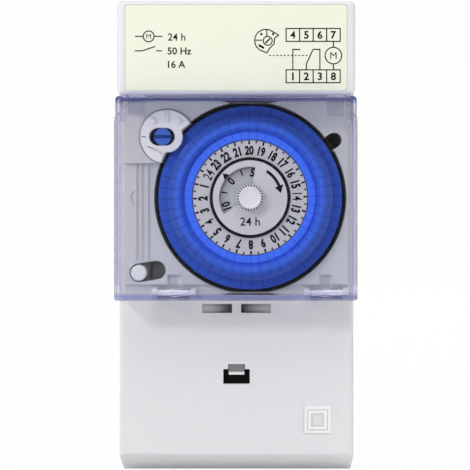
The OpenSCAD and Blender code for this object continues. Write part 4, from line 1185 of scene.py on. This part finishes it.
class TIMER_OT_label_print(bpy.types.Operator):
    """Prints the plain wiring diagram on the label plate"""
    bl_idname = "timer.label_print"
    bl_label = "Label print"

    LINE = 0.36

    def execute(self, context):
        ink = Print()
        self.supply_marks(ink)
        self.lever_mark(ink)
        self.terminals(ink)
        ink.lay("label_print", front_of("label_plate"), ink_material(), "housing", "black_plastic")
        return {"FINISHED"}

    def run(self, ink, *corners):
        """Line through several points."""
        for (x0, y0), (x1, y1) in zip(corners, corners[1:]):
            ink.stroke(x0, y0, x1, y1, self.LINE)

    def supply_marks(self, ink):
        """A motor between its leads, an open contact, and short plain ratings beside them."""
        x, y = -27.5, 64.7
        radius, lead = 1.7, 4.3
        ink.ring(x, y, radius, self.LINE)
        ink.letters("M", x, y, 1.6, 0.0)
        for side in (-1, 1):
            self.run(ink, (x + side * radius, y), (x + side * lead, y))
        row = 60.15
        self.run(ink, (-31.9, row), (-29.5, row), (-25.4, row + 1.4))
        self.run(ink, (-25.1, row), (-23.3, row))
        for text, x, y in (("24 h", -18.7, 64.5), ("50 Hz", -17.8, 60.1), ("16 A", -18.7, 55.9)):
            ink.letters(text, x, y, 2.3, 0.02)

    def lever_mark(self, ink):
        """The switch lever as a sign: a disc open at the lower right, two beaks, and its dotted link."""
        middle = np.array([9.35, 63.4])
        radius, spoke = 3.5, 1.2
        ink.arc(*middle, radius, self.LINE, 55, 262, 30)
        lines = (
            ((2.0, 2.87), (4.1, 1.7), (2.75, 0.8), (2.6, -1.1)),
            ((2.6, -1.1), (1.2, -2.4), (0.3, -4.0), (-0.5, -3.47)),
            ((0.3, radius), (0.3, spoke)),
            ((-radius, 0.1), (-spoke, 0.1)),
        )
        for line in lines:
            self.run(ink, *(middle + np.array(line)))
        hub = middle + np.array([0.6, -0.1])
        ink.ring(*hub, 1.4, self.LINE, 28)
        ink.stroke(*(hub - 0.75), *(hub + 0.75), 0.5)
        for side in (-1.4, 2.3):
            ink.disc(middle[0] + side, middle[1] + 2.0, 0.4)
        ink.stroke(*(middle - (2.2, 1.4)), *(middle - (0.6, 2.4)), 0.7)
        dash, link = 0.55, 58.7
        for x in np.arange(10.4, 22.4, 1.15):
            ink.stroke(x, link, x + dash, link, self.LINE)

    def terminals(self, ink):
        """Two rows of numbered boxes with the change-over contact and the motor between them."""
        line = self.LINE
        left, width = 15.55, 4.25
        upper, lower = (62.95, 67.35), (49.95, 54.35)
        for row, numbers in ((upper, "4567"), (lower, "1238")):
            for index, number in enumerate(numbers):
                x = left + index * width
                ink.frame(x, x + width + line, row[0], row[1], line)
                ink.letters(number, x + (width + line) / 2, (row[0] + row[1]) / 2, 2.5, 0.03)
        middles = left + line / 2 + (np.arange(4) + 0.5) * width
        top = 60.6
        self.run(ink, (middles[0], lower[1]), (middles[0], top + line / 2))
        self.run(ink, (middles[0], top), (middles[0] + 2.3, top))
        self.run(ink, (middles[1], lower[1]), (middles[1], 56.0), (middles[1] + 2.1, top))
        self.run(ink, (middles[1] + 2.1, top), (middles[2] + line / 2, top))
        self.run(ink, (middles[2], top), (middles[2], lower[1]))
        x, y, radius = middles[3], 58.65, 2.6
        ink.ring(x, y, radius, line)
        ink.letters("M", x, y, 2.1, 0.0)
        self.run(ink, (x, upper[0]), (x, y + radius))
        self.run(ink, (x, lower[1]), (x, y - radius))


class TIMER_OT_stage(bpy.types.Operator):
    """Adds the floor, the backdrop, the lamps, the world and the camera"""
    bl_idname = "timer.stage"
    bl_label = "Stage"

    def execute(self, context):
        self.world()
        self.floor()
        self.lamps()
        self.camera()
        context.scene.view_settings.view_transform = "Standard"
        return {"FINISHED"}

    def bright_rays(self, tree):
        """1 for rays from the camera, from gloss and through glass, and 0 for the light itself."""
        path = add_node(tree, "LightPath")
        gloss = add_node(tree, "Math", "MAXIMUM")
        glass = add_node(tree, "Math", "MAXIMUM")
        join(tree, (path.outputs["Is Camera Ray"], gloss.inputs[0]),
             (path.outputs["Is Glossy Ray"], gloss.inputs[1]), (gloss.outputs["Value"], glass.inputs[0]),
             (path.outputs["Is Transmission Ray"], glass.inputs[1]))
        return glass.outputs["Value"]

    def world(self):
        """Dim grey light, seen as white."""
        world = bpy.data.worlds.new("studio")
        world.use_nodes = True
        tree = world.node_tree
        mix = colour_mix(tree, {"A": (0.16, 0.16, 0.165, 1), "B": (1, 1, 1, 1)})
        join(tree, (self.bright_rays(tree), mix.inputs["Factor"]),
             (mix.outputs["Result"], tree.nodes["Background"].inputs["Color"]))
        bpy.context.scene.world = world

    def floor(self):
        """One sheet: flat under the object, then rising behind it in a quarter circle."""
        low = CAD_BOX[0].z - 0.0005
        turns = np.radians(np.linspace(0, 90, 13))
        start, bend, front, top = 1.0, 0.5, -2.5, 4.0
        depth = np.concatenate([[front], start + bend * np.sin(turns), [start + bend]])[:, None]
        rise = np.concatenate([[0.0], bend * (1 - np.cos(turns)), [top]])[:, None]
        across = np.array([-4.0, 4.0])[None, :]
        points = np.stack(np.broadcast_arrays(across, depth, low + rise), axis=-1).reshape(-1, 3)
        mesh = bpy.data.meshes.new("floor")
        mesh.from_pydata(points.tolist(), [], grid_quads(len(depth), 2)[:, ::-1].tolist())
        mesh.polygons.foreach_set("use_smooth", np.full(len(mesh.polygons), True))
        floor = bpy.data.objects.new("floor", mesh)
        bpy.context.scene.collection.objects.link(floor)
        mesh.materials.append(self.floor_material())

    def floor_material(self):
        """White that takes the light, mixed with a glow for the rays that are seen."""
        material, tree, shader = new_material("floor_white")
        set_inputs(shader, {"Base Color": (0.95, 0.95, 0.95, 1), "Roughness": 0.9})
        glow = add_node(tree, "Emission")
        mix = add_node(tree, "MixShader")
        share = add_node(tree, "Math", "MULTIPLY")
        share.inputs[1].default_value = 0.93
        join(tree, (self.bright_rays(tree), share.inputs[0]), (share.outputs["Value"], mix.inputs["Fac"]),
             (shader.outputs["BSDF"], mix.inputs[1]), (glow.outputs["Emission"], mix.inputs[2]),
             (mix.outputs["Shader"], tree.nodes["Material Output"].inputs["Surface"]))
        return material

    def lamps(self):
        """A key lamp at the upper left, a soft one above, one at each side and one behind."""
        places = [
            ("key_lamp", (-0.7, -1.05, 0.6), 0.22, 5.9),
            ("top_lamp", (0.0, -1.3, 2.3), 1.6, 29.5),
            ("left_lamp", (-1.0, -0.55, -0.05), 0.7, 4.0),
            ("right_lamp", (1.0, -0.45, -0.05), 0.8, 4.6),
            ("back_lamp", (0.3, 0.9, 0.9), 0.9, 6.0),
        ]
        for name, place, side, power in places:
            lamp = bpy.data.lights.new(name, "AREA")
            lamp.shape = "SQUARE"
            lamp.size = side
            lamp.energy = power
            holder = bpy.data.objects.new(name, lamp)
            holder.location = place
            to_object = -holder.location
            holder.rotation_euler = to_object.to_track_quat("-Z", "Y").to_euler()
            bpy.context.scene.collection.objects.link(holder)

    def camera(self):
        """Camera that looks along +Y, with the shift that the photograph's framing needs."""
        lens = bpy.data.cameras.new("camera")
        lens.lens = sizes().lens
        lens.sensor_width = 36.0
        lens.shift_x = -0.049
        lens.shift_y = -0.085
        lens.clip_start = 0.01
        lens.clip_end = 50.0
        holder = bpy.data.objects.new("camera", lens)
        holder.location = (6.9 * MM, -sizes().camera_distance, 14.8 * MM)
        holder.rotation_euler = (math.radians(90), 0, 0)
        bpy.context.scene.collection.objects.link(holder)
        bpy.context.scene.camera = holder


PIECE_OPERATORS = (
    TIMER_OT_housing,
    TIMER_OT_inner_works,
    TIMER_OT_clear_cover,
    TIMER_OT_tappets,
    TIMER_OT_dial_prints,
    TIMER_OT_setting_knob,
    TIMER_OT_switch_lever,
    TIMER_OT_mode_button,
    TIMER_OT_label_print,
    TIMER_OT_stage,
)


class TIMER_PT_looks(bpy.types.Panel):
    """Lists the pieces and the values that they use"""
    bl_idname = "TIMER_PT_looks"
    bl_label = "Timer switch"
    bl_space_type = "VIEW_3D"
    bl_region_type = "UI"
    bl_category = "Timer switch"

    def draw(self, context):
        layout = self.layout
        for operator in PIECE_OPERATORS:
            layout.operator(operator.bl_idname)
        for group in (context.scene.timer_sizes, context.scene.timer_colours):
            column = layout.column()
            for name in group.__annotations__:
                column.prop(group, name)


CLASSES = (TimerSizes, TimerColours, *PIECE_OPERATORS, TIMER_PT_looks)


def register():
    for item in CLASSES:
        bpy.utils.register_class(item)
    bpy.types.Scene.timer_sizes = bpy.props.PointerProperty(type=TimerSizes)
    bpy.types.Scene.timer_colours = bpy.props.PointerProperty(type=TimerColours)


def unregister():
    del bpy.types.Scene.timer_colours
    del bpy.types.Scene.timer_sizes
    for item in reversed(CLASSES):
        bpy.utils.unregister_class(item)


def main():
    register()
    bpy.ops.timer.housing()
    bpy.ops.timer.inner_works()
    bpy.ops.timer.clear_cover()
    bpy.ops.timer.tappets()
    bpy.ops.timer.dial_prints()
    bpy.ops.timer.setting_knob()
    bpy.ops.timer.switch_lever()
    bpy.ops.timer.mode_button()
    bpy.ops.timer.label_print()
    bpy.ops.timer.stage()


if __name__ == "__main__":
    main()
